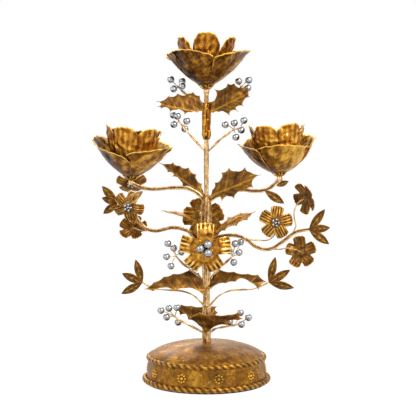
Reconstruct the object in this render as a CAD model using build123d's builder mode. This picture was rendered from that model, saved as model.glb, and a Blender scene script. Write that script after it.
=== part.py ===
from build123d import *

import os
from dataclasses import dataclass
from math import cos, pi, radians, sin, sqrt, tan

# A gilt three-light candelabra in leaf and flower work. Millimetres, Z up, the origin at the middle of
# the felt's underside. The front faces -Y, and azimuths turn from +X towards +Y.

# Base
foot_radius = 72.8
drum_top_radius = 70.0
drum_hollow = 0.6
drum_height = 29.5
dome_rise = 18.0
shell_wall = 1.4
felt_thickness = 1.6
felt_inset = 0.5
rope_lower_radius = 3.3
rope_upper_radius = 2.9
rosette_count = 10
rosette_turn = 11.8
rosette_radius = 5.6
rosette_plate = 1.0
rosette_bead = 1.35
rosette_beads = 8
weight_height = 12.0
weight_gap = 1.0
weight_bore = 14.0

# Stem
rod_radius = 2.8
cup_top_height = 357.0
ferrule_radius = 3.5
ferrule_length = 8.0
foot_sleeve_radius = 5.6
foot_sleeve_waist = 4.2
foot_sleeve_top = 93.0
lower_bundle_radius = 6.2
lower_bundle_top = 176.0
middle_bundle_radius = 7.0
middle_bundle_top = 226.0
upper_sleeve_radius = 5.4
upper_sleeve_bottom = 295.0
upper_sleeve_top = 337.0
nut_across = 10.0
nut_height = 4.0
washer_radius = 9.0
washer_thickness = 1.2

# Cups
cup_boss_radius = 8.0
cup_boss = 8.0
petal_foot_radius = 5.0
petal_foot_height = 2.2
petal_sheet = 0.9
petal_layer_gap = 0.4
inner_foot_radius = 13.4
inner_disc = 1.2
inner_sheet = 0.9
inner_petals = 6
notch_depth = 13.0
notch_width = 2.6
inner_waist = 0.74
inner_waist_height = 0.42
inner_notch_reach = 0.62
belly_lift = 0.4
socket_bore_radius = 11.25
socket_bore_length = 25.0
socket_wall = 1.0
socket_floor = 3.2
screw_radius = 1.6
screw_head_radius = 3.4
screw_head = 2.0
screw_head_gap = 0.2
screw_sink = 0.3
screw_reach = 6.0

# Arms, branches and sprays
arm_radius = 2.0
branch_radius = 2.1
twig_radius = 1.3
wire_radius = 0.8
stalk_radius = 1.1
berry_radius = 4.5
berry_wire_radius = 0.65
pearl_radius = 5.3

# Sheet metal leaves and flowers
leaf_sheet = 0.9
back_leaf_bow = 5.0
spine_hollow = 0.12
spine_share = 0.4
flower_sheet = 0.9
petal_count = 5
petal_heart = 0.22
petal_waist = 0.13
petal_tip = 0.42
petal_crown = 0.6
pin_radius = 1.6
pin_head = 0.8
pearls_each = 3
pearl_turn = 60
pearl_ring = 1.18 * pearl_radius
pearl_lift = 0.96 * pearl_radius
bead_radius = 1.7
bead_centre_radius = 1.15 * bead_radius
bead_ring = 3.8
beads_round = 5
bead_lift = 1.5
leaflet_width = 9.5
leaflet_share = 0.42
leaflet_bow = 1.6
leaflet_sheet = 0.9

SIDES = {"left": -1, "right": 1}
SHEET_REACH = 80.0


@dataclass
class Petal:
    """One outer petal of a cup: where it starts round the cup, how far it spreads, and its rim."""

    start: float
    spread: float
    flare: float
    rim_start: float
    rim_end: float
    layer: int


@dataclass
class Cup:
    """One flower cup: where its foot stands, how it leans, and its petals."""

    foot: tuple
    lean: float
    belly: tuple
    inner_rim: float
    inner_height: float
    inner_turn: float
    petals: list


@dataclass
class Bloom:
    """One flower: its centre, where it looks, its petals' reach, rise, curl and turn, and its pin's foot."""

    centre: tuple
    towards: tuple
    radius: float
    cup: float
    curl: float
    turn: float
    held_at: tuple = None


CUPS = {
    "top": Cup(
        foot=(0, 0, cup_top_height),
        lean=0.0,
        belly=(25.5, 14.5),
        inner_rim=35.0,
        inner_height=66.0,
        inner_turn=-90.0,
        petals=[
            Petal(188, 94, 41, 43, 38, 0),
            Petal(-79, 99, 50, 38, 42, 1),
            Petal(118, 94, 46, 38, 34, 1),
            Petal(15, 110, 44, 40, 42, 0),
        ],
    ),
    "left": Cup(
        foot=(-90.3, 0, 248.2),
        lean=3.4,
        belly=(24.0, 10.5),
        inner_rim=32.5,
        inner_height=63.0,
        inner_turn=-108.0,
        petals=[
            Petal(176, 93, 42, 40, 19, 1),
            Petal(-98, 103, 46, 33, 36, 0),
            Petal(110, 80, 47, 42, 45, 0),
            Petal(-8, 112, 46, 38, 42, 1),
        ],
    ),
    "right": Cup(
        foot=(87.5, 0, 253.0),
        lean=-3.6,
        belly=(24.5, 9.5),
        inner_rim=32.5,
        inner_height=62.0,
        inner_turn=-121.0,
        petals=[
            Petal(-131, 126, 37, 37, 31, 0),
            Petal(165, 70, 44, 38, 34, 1),
            Petal(-12, 80, 42, 40, 42, 1),
            Petal(62, 108, 40, 40, 40, 0),
        ],
    ),
}


def bend_radii(points):
    """The largest radius that each corner of a wire's route leaves room for."""
    spots = [Vector(*point) for point in points]
    radii = []
    for before, corner, after in zip(spots, spots[1:], spots[2:]):
        turn = radians((corner - before).get_angle(after - corner))
        shorter = min((corner - before).length, (after - corner).length)
        radii.append(0.45 * shorter / tan(turn / 2))
    return radii


def bent_wire(points, radius):
    """A round wire along straight runs joined by tangent arcs."""
    with BuildPart() as tube:
        with BuildLine() as route:
            if len(points) > 2:
                FilletPolyline(*points, radius=bend_radii(points))
            else:
                Line(*points)
        with BuildSketch(Plane(origin=route.line @ 0, z_dir=route.line % 0)):
            Circle(radius)
        sweep()
    return tube.part


def hollow_edges(points, depth):
    """Hollow arcs from spine to spine round a closed outline, shallower beside a sharp spine."""
    spots = [Vector(*point) for point in points]
    count = len(spots)
    turning = sum(a.X * b.Y - b.X * a.Y for a, b in zip(spots, spots[1:] + spots[:1]))
    inwards = 1 if turning > 0 else -1
    corners = []
    for index, spot in enumerate(spots):
        corners.append((spots[index - 1] - spot).get_angle(spots[(index + 1) % count] - spot))
    for index, here in enumerate(spots):
        there = spots[(index + 1) % count]
        sharpest = min(corners[index], corners[(index + 1) % count])
        share = min(depth, 0.5 * tan(radians(sharpest) * spine_share / 2))
        SagittaArc(here, there, inwards * share * (there - here).length)


def spiny_blade(root, outline, depths, lean):
    """A holly blade: its spiny outline as seen from the front, cut out of a bowed sheet.

    The outline gives the spines' tips, across and up from the root. The depths are how far the sheet
    stands behind the root at its left end, middle and right end, and lean tips its top edge back.
    """
    across = [point[0] for point in outline] + [0]
    low, high = min(across) - 2, max(across) + 2
    middle = (low + high) / 2
    tilt = radians(lean)
    sheet_plane = Plane(origin=root, x_dir=(1, 0, 0), z_dir=(0, sin(tilt), cos(tilt)))
    front_plane = Plane(origin=root, x_dir=(1, 0, 0), z_dir=(0, -1, 0))
    with BuildPart() as blade:
        with BuildSketch(sheet_plane):
            with BuildLine():
                near = ThreePointArc((low, depths[0]), (middle, depths[1]), (high, depths[2]))
                far = ThreePointArc(
                    (low, depths[0] + leaf_sheet),
                    (middle, depths[1] + leaf_sheet),
                    (high, depths[2] + leaf_sheet),
                )
                Line(near @ 0, far @ 0)
                Line(near @ 1, far @ 1)
            make_face()
        extrude(amount=SHEET_REACH, both=True)
        with BuildSketch(front_plane):
            with BuildLine():
                hollow_edges([(0, 0)] + outline, spine_hollow)
            make_face()
        extrude(amount=SHEET_REACH, both=True, mode=Mode.INTERSECT)
    return blade.part


def plain_leaf(length, width, bow):
    """A small smooth leaf along +X from its foot at the origin, bowed towards +Z."""
    with BuildPart() as leaf:
        with BuildSketch(Plane.XZ):
            with BuildLine():
                upper = ThreePointArc((-1, 0), (length / 2, bow), (length + 1, 0))
                lower = ThreePointArc(
                    (-1, -leaflet_sheet), (length / 2, bow - leaflet_sheet), (length + 1, -leaflet_sheet)
                )
                Line(upper @ 0, lower @ 0)
                Line(upper @ 1, lower @ 1)
            make_face()
        extrude(amount=width, both=True)
        with BuildSketch(Plane.XY):
            with BuildLine():
                ThreePointArc((0, 0), (0.58 * length, width / 2), (length, 0))
                ThreePointArc((0, 0), (0.58 * length, -width / 2), (length, 0))
            make_face()
        extrude(amount=SHEET_REACH, both=True, mode=Mode.INTERSECT)
    return leaf.part


def bloom(radius, cup, curl, first_petal):
    """A five-petalled sheet flower facing +Z: its petals rise by cup, then curl back by curl."""
    waist = petal_waist * radius
    tip_half = petal_tip * radius
    crown = petal_crown * radius
    reach = sqrt(radius**2 - tip_half**2)
    with BuildPart() as flower:
        with BuildSketch(Plane.XZ):
            with BuildLine():
                top = ThreePointArc(
                    (0, flower_sheet), (crown, cup + flower_sheet), (radius, cup - curl + flower_sheet)
                )
                under = ThreePointArc((0, 0), (crown, cup), (radius, cup - curl))
                Line(top @ 0, under @ 0)
                Line(top @ 1, under @ 1)
            make_face()
        revolve(axis=Axis.Z)
        with BuildSketch(Plane.XY):
            Circle(petal_heart * radius)
            for number in range(petal_count):
                facing = radians(first_petal + number * 360 / petal_count)
                ahead = Vector(cos(facing), sin(facing))
                aside = Vector(-sin(facing), cos(facing))
                with BuildLine():
                    left = Line(aside * waist, ahead * reach + aside * tip_half)
                    right = Line(aside * -waist, ahead * reach - aside * tip_half)
                    ThreePointArc(left @ 1, ahead * (radius + 0.1), right @ 1)
                    Line(left @ 0, right @ 0)
                make_face()
        extrude(amount=SHEET_REACH, both=True, mode=Mode.INTERSECT)
    return flower.part


def facing_plane(centre, towards, up=(0, 0, 1)):
    """A plane whose +Z looks towards a direction, with its +Y as near to up as it can be."""
    normal = Vector(*towards).normalized()
    side = Vector(*up).cross(normal)
    return Plane(origin=centre, x_dir=side, z_dir=normal)


def leaf_plane(foot, tip, face=(0, -1, 0)):
    """A plane at a leaf's foot with +X to its tip and its upper face turned towards face."""
    along = Vector(*tip) - Vector(*foot)
    side = Vector(*face).cross(along)
    return Plane(origin=foot, x_dir=along, z_dir=along.cross(side))


def cup_plane(cup):
    """The leaning plane at a cup's foot."""
    lean = radians(cup.lean)
    return Plane(origin=cup.foot, x_dir=(cos(lean), 0, -sin(lean)), z_dir=(sin(lean), 0, cos(lean)))


def wedge_plane(azimuth):
    """The upright plane through the Z axis, with its +X outwards at an azimuth."""
    turn = radians(azimuth)
    return Plane(origin=(0, 0, 0), x_dir=(cos(turn), sin(turn), 0), z_dir=(sin(turn), -cos(turn), 0))


def outer_petal(petal, belly):
    """One outer petal: a sector of a bowl with a sloping rim."""
    shift = petal.layer * (petal_sheet + petal_layer_gap)
    rim = max(petal.rim_start, petal.rim_end)
    slope_span = 2 * petal.flare * sin(radians(petal.spread / 2))
    slope = (petal.rim_end - petal.rim_start) / slope_span
    middle = radians(petal.start + petal.spread / 2)
    rim_plane = Plane(
        origin=(0, 0, (petal.rim_start + petal.rim_end) / 2),
        z_dir=(slope * sin(middle), -slope * cos(middle), 1),
    )
    foot = (petal_foot_radius, petal_foot_height - shift)
    with BuildPart() as piece:
        with BuildSketch(wedge_plane(petal.start)):
            with BuildLine():
                inner = ThreePointArc(
                    foot,
                    (belly[0] + shift, belly[1] + belly_lift),
                    (petal.flare + shift, rim + 2),
                )
                outer = ThreePointArc(
                    (foot[0], foot[1] - petal_sheet),
                    (belly[0] + shift + 0.7 * petal_sheet, belly[1] + belly_lift - 0.7 * petal_sheet),
                    (petal.flare + shift + petal_sheet, rim + 2),
                )
                Line(inner @ 0, outer @ 0)
                Line(inner @ 1, outer @ 1)
            make_face()
        revolve(axis=Axis.Z, revolution_arc=petal.spread)
        split(bisect_by=rim_plane, keep=Keep.BOTTOM)
    return piece.part


def inner_cup(cup):
    """The corrugated inner cup without its flutes: a flared wall notched into rounded petals."""
    base = cup_boss + inner_disc
    crest = cup.inner_height
    valley = crest - notch_depth
    notch_reach = inner_notch_reach * cup.inner_rim * sin(pi / inner_petals)
    with BuildPart() as wall:
        with BuildSketch(Plane.XZ):
            with BuildLine():
                inside = ThreePointArc(
                    (inner_foot_radius, base),
                    (cup.inner_rim * inner_waist, crest * inner_waist_height),
                    (cup.inner_rim, crest),
                )
                outside = ThreePointArc(
                    (inner_foot_radius + inner_sheet, base),
                    (cup.inner_rim * inner_waist + inner_sheet, crest * inner_waist_height),
                    (cup.inner_rim + inner_sheet, crest),
                )
                Line(inside @ 0, outside @ 0)
                Line(inside @ 1, outside @ 1)
            make_face()
        revolve(axis=Axis.Z)
        for number in range(inner_petals):
            notch = wedge_plane(cup.inner_turn + (number + 0.5) * 360 / inner_petals)
            across = Plane(origin=(0, 0, 0), x_dir=-notch.z_dir, z_dir=notch.x_dir)
            with BuildSketch(across):
                with BuildLine():
                    for side in SIDES.values():
                        ThreePointArc(
                            (side * 0.4, valley),
                            (side * notch_width, crest - notch_depth * 0.3),
                            (side * notch_reach, crest + 0.5),
                        )
                    Line((-0.4, valley), (0.4, valley))
                    Line((-notch_reach, crest + 0.5), (notch_reach, crest + 0.5))
                make_face()
            extrude(amount=cup.inner_rim + 10, mode=Mode.SUBTRACT)
        with BuildSketch(Plane.XY.offset(cup_boss)):
            Circle(inner_foot_radius + inner_sheet)
            Circle(screw_radius, mode=Mode.SUBTRACT)
        extrude(amount=inner_disc)
    return wall.part


def turned(points, bore=0.0):
    """A turned sleeve from (radius, height) points, through which a bore runs."""
    low, high = points[0][1], points[-1][1]
    with BuildPart() as body:
        with BuildSketch(Plane.XZ):
            with BuildLine():
                Polyline(*points)
                Line(points[-1], (bore, high))
                Line((bore, high), (bore, low))
                Line((bore, low), points[0])
            make_face()
        revolve(axis=Axis.Z)
    return body.part


os.makedirs("parts", exist_ok=True)
pieces = []
boxes = []


def keep(builder, label, solids=1):
    """Cuts a piece back to meet the pieces made before it, then labels and writes it."""
    box = builder.part.bounding_box()
    near = [piece for piece, other in zip(pieces, boxes) if box.overlaps(other)]
    with BuildPart() as fitted:
        add(builder.part)
        if near:
            add(near, mode=Mode.SUBTRACT)
    with BuildPart() as whole:
        add(fitted.part.solids().sort_by(SortBy.VOLUME)[-solids:])
    whole.part.label = label
    export_step(whole.part, f"parts/{label}.step")
    pieces.append(whole.part)
    boxes.append(whole.part.bounding_box())


# Base: a spun shell with a domed top, two rope mouldings, rosettes, a weight and a felt
shell_bottom = felt_thickness
shell_top = felt_thickness + drum_height
dome_top = shell_top + dome_rise
drum_middle = (foot_radius + drum_top_radius) / 2 - drum_hollow

with BuildPart() as base_shell:
    with BuildSketch(Plane.XZ):
        with BuildLine():
            ThreePointArc(
                (foot_radius, shell_bottom),
                (drum_middle, (shell_bottom + shell_top) / 2),
                (drum_top_radius, shell_top),
            )
            ThreePointArc(
                (drum_top_radius, shell_top),
                (drum_top_radius * 0.52, shell_top + dome_rise * 0.74),
                (0, dome_top),
            )
            Line((0, dome_top), (0, dome_top - shell_wall))
            ThreePointArc(
                (0, dome_top - shell_wall),
                ((drum_top_radius - shell_wall) * 0.52, shell_top + dome_rise * 0.74 - shell_wall),
                (drum_top_radius - shell_wall, shell_top - shell_wall / 2),
            )
            ThreePointArc(
                (drum_top_radius - shell_wall, shell_top - shell_wall / 2),
                (drum_middle - shell_wall, (shell_bottom + shell_top) / 2),
                (foot_radius - shell_wall, shell_bottom),
            )
            Line((foot_radius - shell_wall, shell_bottom), (foot_radius, shell_bottom))
        make_face()
    revolve(axis=Axis.Z)
    with BuildSketch(Plane.XY.offset(shell_top)):
        Circle(rod_radius)
    extrude(amount=dome_rise + 1, mode=Mode.SUBTRACT)
keep(base_shell, "base_shell")

with BuildPart() as base_felt:
    with BuildSketch(Plane.XY):
        Circle(foot_radius - felt_inset)
    extrude(amount=felt_thickness)
keep(base_felt, "base_felt")

with BuildPart() as base_weight:
    with BuildSketch(Plane.XY.offset(felt_thickness)):
        Circle(drum_middle - shell_wall - weight_gap)
        Circle(weight_bore, mode=Mode.SUBTRACT)
    extrude(amount=weight_height)
    chamfer(base_weight.edges().group_by(Axis.Z)[-1], 1.0)
keep(base_weight, "base_weight")

with BuildPart() as base_rope_lower:
    with BuildSketch(Plane.XZ):
        with Locations((foot_radius + rope_lower_radius * 0.62, felt_thickness + rope_lower_radius)):
            Circle(rope_lower_radius)
    revolve(axis=Axis.Z)
keep(base_rope_lower, "base_rope_lower")

with BuildPart() as base_rope_upper:
    with BuildSketch(Plane.XZ):
        with Locations((drum_top_radius - 0.2, shell_top)):
            Circle(rope_upper_radius)
    revolve(axis=Axis.Z)
keep(base_rope_upper, "base_rope_upper")

drum_slope = (foot_radius - drum_top_radius) / drum_height
rosette_height = shell_bottom + drum_height * 0.52
with BuildPart() as rosette:
    with BuildSketch(Plane.XY):
        Circle(rosette_radius)
    extrude(amount=rosette_plate + shell_wall / 2)
    with Locations((0, 0, rosette_plate + shell_wall / 2)):
        Sphere(rosette_bead * 1.1, arc_size1=0)
        with PolarLocations(rosette_radius - rosette_bead, rosette_beads):
            Sphere(rosette_bead, arc_size1=0)
with BuildPart() as base_rosettes:
    for number in range(rosette_count):
        azimuth = radians(-90 + rosette_turn + number * 360 / rosette_count)
        reach = drum_middle - shell_wall / 2
        centre = (reach * cos(azimuth), reach * sin(azimuth), rosette_height)
        with Locations(facing_plane(centre, (cos(azimuth), sin(azimuth), drum_slope))):
            add(rosette.part)
keep(base_rosettes, "base_rosettes", rosette_count)

# Stem: a rod from under the dome to the top cup, dressed in sleeves and wire bundles
rod_bottom = dome_top - shell_wall - 12.0
washer_top = dome_top - shell_wall - 0.1

with BuildPart() as stem_rod:
    with BuildSketch(Plane.XY.offset(rod_bottom)):
        Circle(rod_radius)
    extrude(amount=cup_top_height - rod_bottom)
    with BuildSketch(Plane.XY.offset(cup_top_height - ferrule_length)):
        Circle(ferrule_radius)
    extrude(amount=ferrule_length)
    with BuildSketch(Plane.XY.offset(cup_top_height - screw_reach)):
        Circle(screw_radius)
    extrude(amount=screw_reach, mode=Mode.SUBTRACT)
keep(stem_rod, "stem_rod")

with BuildPart() as base_washer:
    with BuildSketch(Plane.XY.offset(washer_top - washer_thickness)):
        Circle(washer_radius)
        Circle(rod_radius, mode=Mode.SUBTRACT)
    extrude(amount=washer_thickness)
keep(base_washer, "base_washer")

with BuildPart() as base_nut:
    with BuildSketch(Plane.XY.offset(washer_top - washer_thickness - nut_height)):
        RegularPolygon(nut_across / 2, 6, major_radius=False)
        Circle(rod_radius, mode=Mode.SUBTRACT)
    extrude(amount=nut_height)
keep(base_nut, "base_nut")

foot_profile = [
    (foot_sleeve_radius + 0.3, dome_top - 1.5),
    (foot_sleeve_radius, dome_top + 4),
    (foot_sleeve_radius - 0.3, dome_top + 14),
    (foot_sleeve_radius + 0.6, dome_top + 28),
    (foot_sleeve_radius + 0.4, dome_top + 38),
    (foot_sleeve_waist, foot_sleeve_top),
]
with BuildPart() as stem_foot_sleeve:
    add(turned(foot_profile, rod_radius))
keep(stem_foot_sleeve, "stem_foot_sleeve")

lower_profile = [
    (foot_sleeve_waist, foot_sleeve_top),
    (foot_sleeve_waist, foot_sleeve_top + 25),
    (lower_bundle_radius * 0.8, foot_sleeve_top + 40),
    (lower_bundle_radius, foot_sleeve_top + 55),
    (middle_bundle_radius, lower_bundle_top),
]
with BuildPart() as stem_lower_bundle:
    add(turned(lower_profile, rod_radius))
keep(stem_lower_bundle, "stem_lower_bundle")

middle_profile = [
    (middle_bundle_radius, lower_bundle_top),
    (middle_bundle_radius, middle_bundle_top - 12),
    (middle_bundle_radius - 1.6, middle_bundle_top - 3),
    (rod_radius + 0.6, middle_bundle_top),
]
with BuildPart() as stem_middle_bundle:
    add(turned(middle_profile, rod_radius))
keep(stem_middle_bundle, "stem_middle_bundle")

upper_profile = [
    (rod_radius + 0.5, upper_sleeve_bottom),
    (upper_sleeve_radius, upper_sleeve_bottom + 5),
    (upper_sleeve_radius, upper_sleeve_top - 12),
    (upper_sleeve_radius - 1.2, upper_sleeve_top - 4),
    (rod_radius + 0.5, upper_sleeve_top),
]
with BuildPart() as stem_upper_sleeve:
    add(turned(upper_profile, rod_radius))
keep(stem_upper_sleeve, "stem_upper_sleeve")

# Cups: four outer petals on a disc, a notched inner cup, a candle socket and a screw
socket_base = cup_boss + inner_disc
socket_shelf = socket_base + socket_floor
head_seat = socket_shelf - screw_sink - screw_head
screws = []
for name, cup in CUPS.items():
    petals = [outer_petal(petal, cup.belly) for petal in cup.petals]
    with BuildPart() as boss:
        with BuildSketch(Plane.XY):
            Circle(cup_boss_radius)
            Circle(screw_radius, mode=Mode.SUBTRACT)
        extrude(amount=cup_boss)
    wall = inner_cup(cup)
    with BuildPart() as tube:
        with BuildSketch(Plane.XY.offset(socket_base)):
            Circle(socket_bore_radius + socket_wall)
        extrude(amount=socket_floor + socket_bore_length)
        with BuildSketch(Plane.XY.offset(socket_shelf)):
            Circle(socket_bore_radius)
        extrude(amount=socket_bore_length, mode=Mode.SUBTRACT)
        with BuildSketch(Plane.XY.offset(socket_base)):
            Circle(screw_radius)
        extrude(amount=socket_floor, mode=Mode.SUBTRACT)
        with BuildSketch(Plane.XY.offset(head_seat)):
            Circle(screw_head_radius + screw_head_gap)
        extrude(amount=screw_head + screw_sink, mode=Mode.SUBTRACT)
    with BuildPart() as screw:
        with BuildSketch(Plane.XY.offset(-screw_reach)):
            Circle(screw_radius)
        extrude(amount=screw_reach + head_seat)
        with BuildSketch(Plane.XY.offset(head_seat)):
            Circle(screw_head_radius)
        extrude(amount=screw_head)
    with BuildPart(cup_plane(cup)) as outer:
        add(petals)
        add(boss.part)
    keep(outer, f"cup_{name}_outer_petals")
    with BuildPart(cup_plane(cup)) as inner:
        add(wall)
    keep(inner, f"cup_{name}_inner_petals")
    with BuildPart(cup_plane(cup)) as socket:
        add(tube.part)
    keep(socket, f"cup_{name}_socket")
    with BuildPart(cup_plane(cup)) as placed_screw:
        add(screw.part)
    screws.append(placed_screw.part)

with BuildPart() as cup_screws:
    add(screws)
keep(cup_screws, "cup_screws", len(CUPS))

# Arms: bent wires from the stem to a ferrule under each side cup
ARM_ROUTES = {
    "left": [(0, 0, 214), (-7.5, 0, 227), (-22, 0, 235.5), (-40, 0, 236.5), (-58, 0, 235), (-73, 0, 235.4),
             (-84, 0, 239.5)],
    "right": [(0, 0, 214), (8, 0, 224), (24, 0, 230.5), (42, 0, 234), (58, 0, 232.4), (72, 0, 234.2),
              (82, 0, 241)],
}
for name, route in ARM_ROUTES.items():
    cup = CUPS[name]
    seat = cup_plane(cup)
    joint = seat.origin - seat.z_dir * (ferrule_length - arm_radius)
    tube = bent_wire(route + [joint], arm_radius)
    with BuildPart() as arm:
        add(tube)
        with BuildSketch(seat.offset(-ferrule_length)):
            Circle(ferrule_radius)
        extrude(amount=ferrule_length)
        with BuildSketch(seat.offset(-screw_reach)):
            Circle(screw_radius)
        extrude(amount=screw_reach, mode=Mode.SUBTRACT)
    keep(arm, f"arm_{name}")

# Holly leaves: spines' tips are given across and up from each root
HOLLY = {
    "upper_left": (
        (0, -2, 325.3),
        [(-5, 3), (-11, 1.5), (-18, 2), (-26, -1), (-29, 4), (-36, 5), (-44, 1), (-45, 7), (-53, 7),
         (-58, 9), (-53, 12), (-59, 15), (-45, 21), (-34, 24), (-21, 24), (-16, 26), (-8, 21), (-2, 12)],
        (-16, -9, 0),
        18,
    ),
    "upper_right": (
        (0, -2, 325.3),
        [(8, 1), (15, 2), (22, 2), (28, -4), (29, 4), (38, 3), (35, 8), (44, 9), (44, 15), (52, 20),
         (50, 24), (53, 29), (45, 31), (33, 36), (25, 36), (21, 30), (9, 30), (11, 18), (3, 14)],
        (0, -6, -10),
        12,
    ),
    "middle_left": (
        (0, 0, 225.0),
        [(-6, 2), (-14, 8), (-29, 12), (-31, 19), (-42, 24), (-39, 27), (-47, 29), (-49, 34), (-57, 40),
         (-46, 39), (-40, 41), (-32, 37), (-21, 35), (-12, 27), (-11, 20), (-5, 16), (-4, 8)],
        (10, 3.5, 0),
        8,
    ),
    "middle_right": (
        (0, -2, 225.0),
        [(6, -2), (12, 2), (17, 1), (18, -6), (22, 1), (27, 2), (34, -2), (36, 6), (46, 9), (56, 13),
         (56, 23), (66, 28), (52, 31), (46, 37), (35, 32), (27, 36), (18, 30), (17, 22), (10, 18), (7, 9)],
        (-1, -11, -14),
        10,
    ),
    "lower_left": (
        (0, -1, 113.4),
        [(-5, -5), (-13, 1), (-25, 3), (-39, 0), (-43, 3), (-52, 4), (-64, 0), (-75, 2), (-63, 10),
         (-51, 16), (-40, 19), (-25, 21), (-21, 23), (-9, 19), (-4, 10)],
        (-12, -12, -2),
        34,
    ),
    "lower_right": (
        (0, -1, 114.8),
        [(6, 0), (12, 5), (23, 7), (35, 9), (41, 13), (52, 9), (63, 0), (65, 6), (72, 9), (62, 17),
         (50, 18), (33, 20), (16, 22), (9, 17), (4, 9)],
        (-2, -12, -12),
        34,
    ),
    "bottom_front": (
        (0, -1.5, 61.5),
        [(4, 2), (12, 9), (25, 10), (26, 15), (38, 16), (46, 17), (39, 21), (40, 27), (26, 23),
         (10, 23), (-8, 26), (-16, 22), (-21, 17), (-9, 9), (-3, 2)],
        (-2, -5, -4),
        -16,
    ),
    "bottom_left": (
        (0, 2, 62.8),
        [(-4, 3), (-13, 10), (-22, 12), (-25, 19), (-32, 17), (-35, 24), (-31, 30), (-18, 29), (-5, 28),
         (-1, 18)],
        (8, 3, 0),
        6,
    ),
    "bottom_right": (
        (0, 2, 76.0),
        [(8, 1), (14, 7), (10, 11), (14, 15), (6, 15), (2, 11)],
        (0, 2, 6),
        20,
    ),
}
for name, (root, outline, depths, lean) in HOLLY.items():
    blade = spiny_blade(root, outline, depths, lean)
    with BuildPart() as leaf:
        add(blade)
    keep(leaf, f"holly_{name}")

# Two leaves at the back that the front view meets edge on
BACK_HOLLY = {
    "back_left": ((-2, 3, 190.0), (-55, 26, 205.4), (0.25, -0.1, 1)),
    "back_right": ((2, 3, 176.0), (60, 22, 204.8), (-0.35, -0.55, 1)),
}
BACK_SPINES = [(0.16, 0.04), (0.3, 0.13), (0.42, 0.1), (0.52, 0.2), (0.64, 0.12), (0.76, 0.17), (0.85, 0.07)]
for name, (root, tip, face) in BACK_HOLLY.items():
    length = (Vector(*tip) - Vector(*root)).length
    upper = [(length * a, length * b) for a, b in BACK_SPINES]
    lower = [(a, -b) for a, b in reversed(upper)]
    corners = [(0, length * 0.03)] + upper + [(length, 0)] + lower + [(0, -length * 0.03)]
    with BuildPart() as blade:
        with BuildSketch(Plane.XZ):
            with BuildLine():
                over = ThreePointArc((-2, 0), (length / 2, back_leaf_bow), (length + 2, 0))
                under = ThreePointArc(
                    (-2, -leaf_sheet), (length / 2, back_leaf_bow - leaf_sheet), (length + 2, -leaf_sheet)
                )
                Line(over @ 0, under @ 0)
                Line(over @ 1, under @ 1)
            make_face()
        extrude(amount=length / 2, both=True)
        with BuildSketch(Plane.XY):
            with BuildLine():
                hollow_edges(corners, spine_hollow)
            make_face()
        extrude(amount=SHEET_REACH, both=True, mode=Mode.INTERSECT)
    with BuildPart(leaf_plane(root, tip, face)) as leaf:
        add(blade.part)
    keep(leaf, f"holly_{name}")

# Branches and twigs: each a main wire with thinner wires to its flowers
BRANCHES = {
    "branch_left": {
        "main": [(0, 3, 169), (-11.3, 2, 175.7), (-17, 1, 181.2), (-28.1, 0, 186.4), (-41.4, -1, 188.4),
                 (-60.6, -2, 184.6), (-72.6, -2, 187.8), (-81, -2, 196.3), (-85.7, -3, 204.8),
                 (-93.2, -6, 214.2)],
        "wires": [
            [(-66, -2, 185.6), (-77, 1, 184.5), (-88.6, 6, 187.5)],
            [(-90.5, -4.6, 210.5), (-99, -1, 215.5), (-107, 1, 218)],
        ],
    },
    "branch_right": {
        "main": [(0, 3, 165), (7.9, 3, 174), (23, 2, 178.4), (38, 1, 178), (48.8, 0, 173.3), (58.4, -1, 166),
                 (70, -1, 162), (81, -1, 164.2), (95.7, -1, 174.5), (108, -1, 183.2), (123.5, -1, 186.2)],
        "wires": [
            [(47, 0.2, 174.5), (60, 2, 172.9), (73, 3, 172.7), (81, 3, 178), (84, 1, 187), (83, -4, 195.1)],
            [(103, -1, 180.5), (107.4, -1, 190.2), (105.3, -1, 201), (106, 0, 211), (111, 0.5, 219),
             (117.6, 1, 223)],
            [(76, -1, 162.6), (88, -1, 162.2), (99, -1, 163.6), (107.8, 0, 161.5), (113.8, 1, 158.7)],
        ],
    },
    "twig_left": {
        "main": [(0, 1, 89), (-5.6, 2, 96.2), (-16.3, 3, 105.6), (-30, 3, 110.8), (-47, 3, 112),
                 (-62, 3, 113.6), (-77.5, 3, 121)],
        "wires": [],
    },
    "twig_right": {
        "main": [(0, 1, 87), (5.2, 2, 94.5), (14.9, 3, 104.8), (27, 3, 110.8), (41, 3, 112.4), (57, 3, 113.4),
                 (75.5, 3, 121.2)],
        "wires": [],
    },
}
PEARL_FLOWERS = {
    "centre_flower": Bloom((-1.1, -11, 165.4), (0, -1, 0), 31, 5, 6, 90, (-1.1, 0, 165.4)),
    "back_flower": Bloom((-4, 15, 197), (0.25, 0.95, 0.1), 27, 4, 5, 8, (0, 0, 196)),
}
LEFT_WIRES = BRANCHES["branch_left"]["wires"]
RIGHT_WIRES = BRANCHES["branch_right"]["wires"]
BEAD_FLOWERS = {
    "flower_left_1": Bloom((-90.4, 11, 242), (0, -0.78, -0.62), 18.5, 2, 4, 18, (-90.3, 0, 243)),
    "flower_left_2": Bloom((-93.4, -6.5, 214.7), (-0.2, -0.95, -0.25), 19.5, 2, 4, -12),
    "flower_left_3": Bloom(LEFT_WIRES[0][-1], (0.1, 0.8, -0.6), 17.5, 2, 4, 27),
    "flower_right_1": Bloom((83, -4.5, 195.1), (0, -1, 0.05), 20.5, 2.5, 4, 10),
    "flower_right_2": Bloom(RIGHT_WIRES[1][-1], (0.75, 0.6, 0.25), 20, 2, 4, 64),
    "flower_right_3": Bloom(RIGHT_WIRES[2][-1], (0.15, 0.95, -0.2), 19.5, 2, 4, 12),
}
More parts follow.
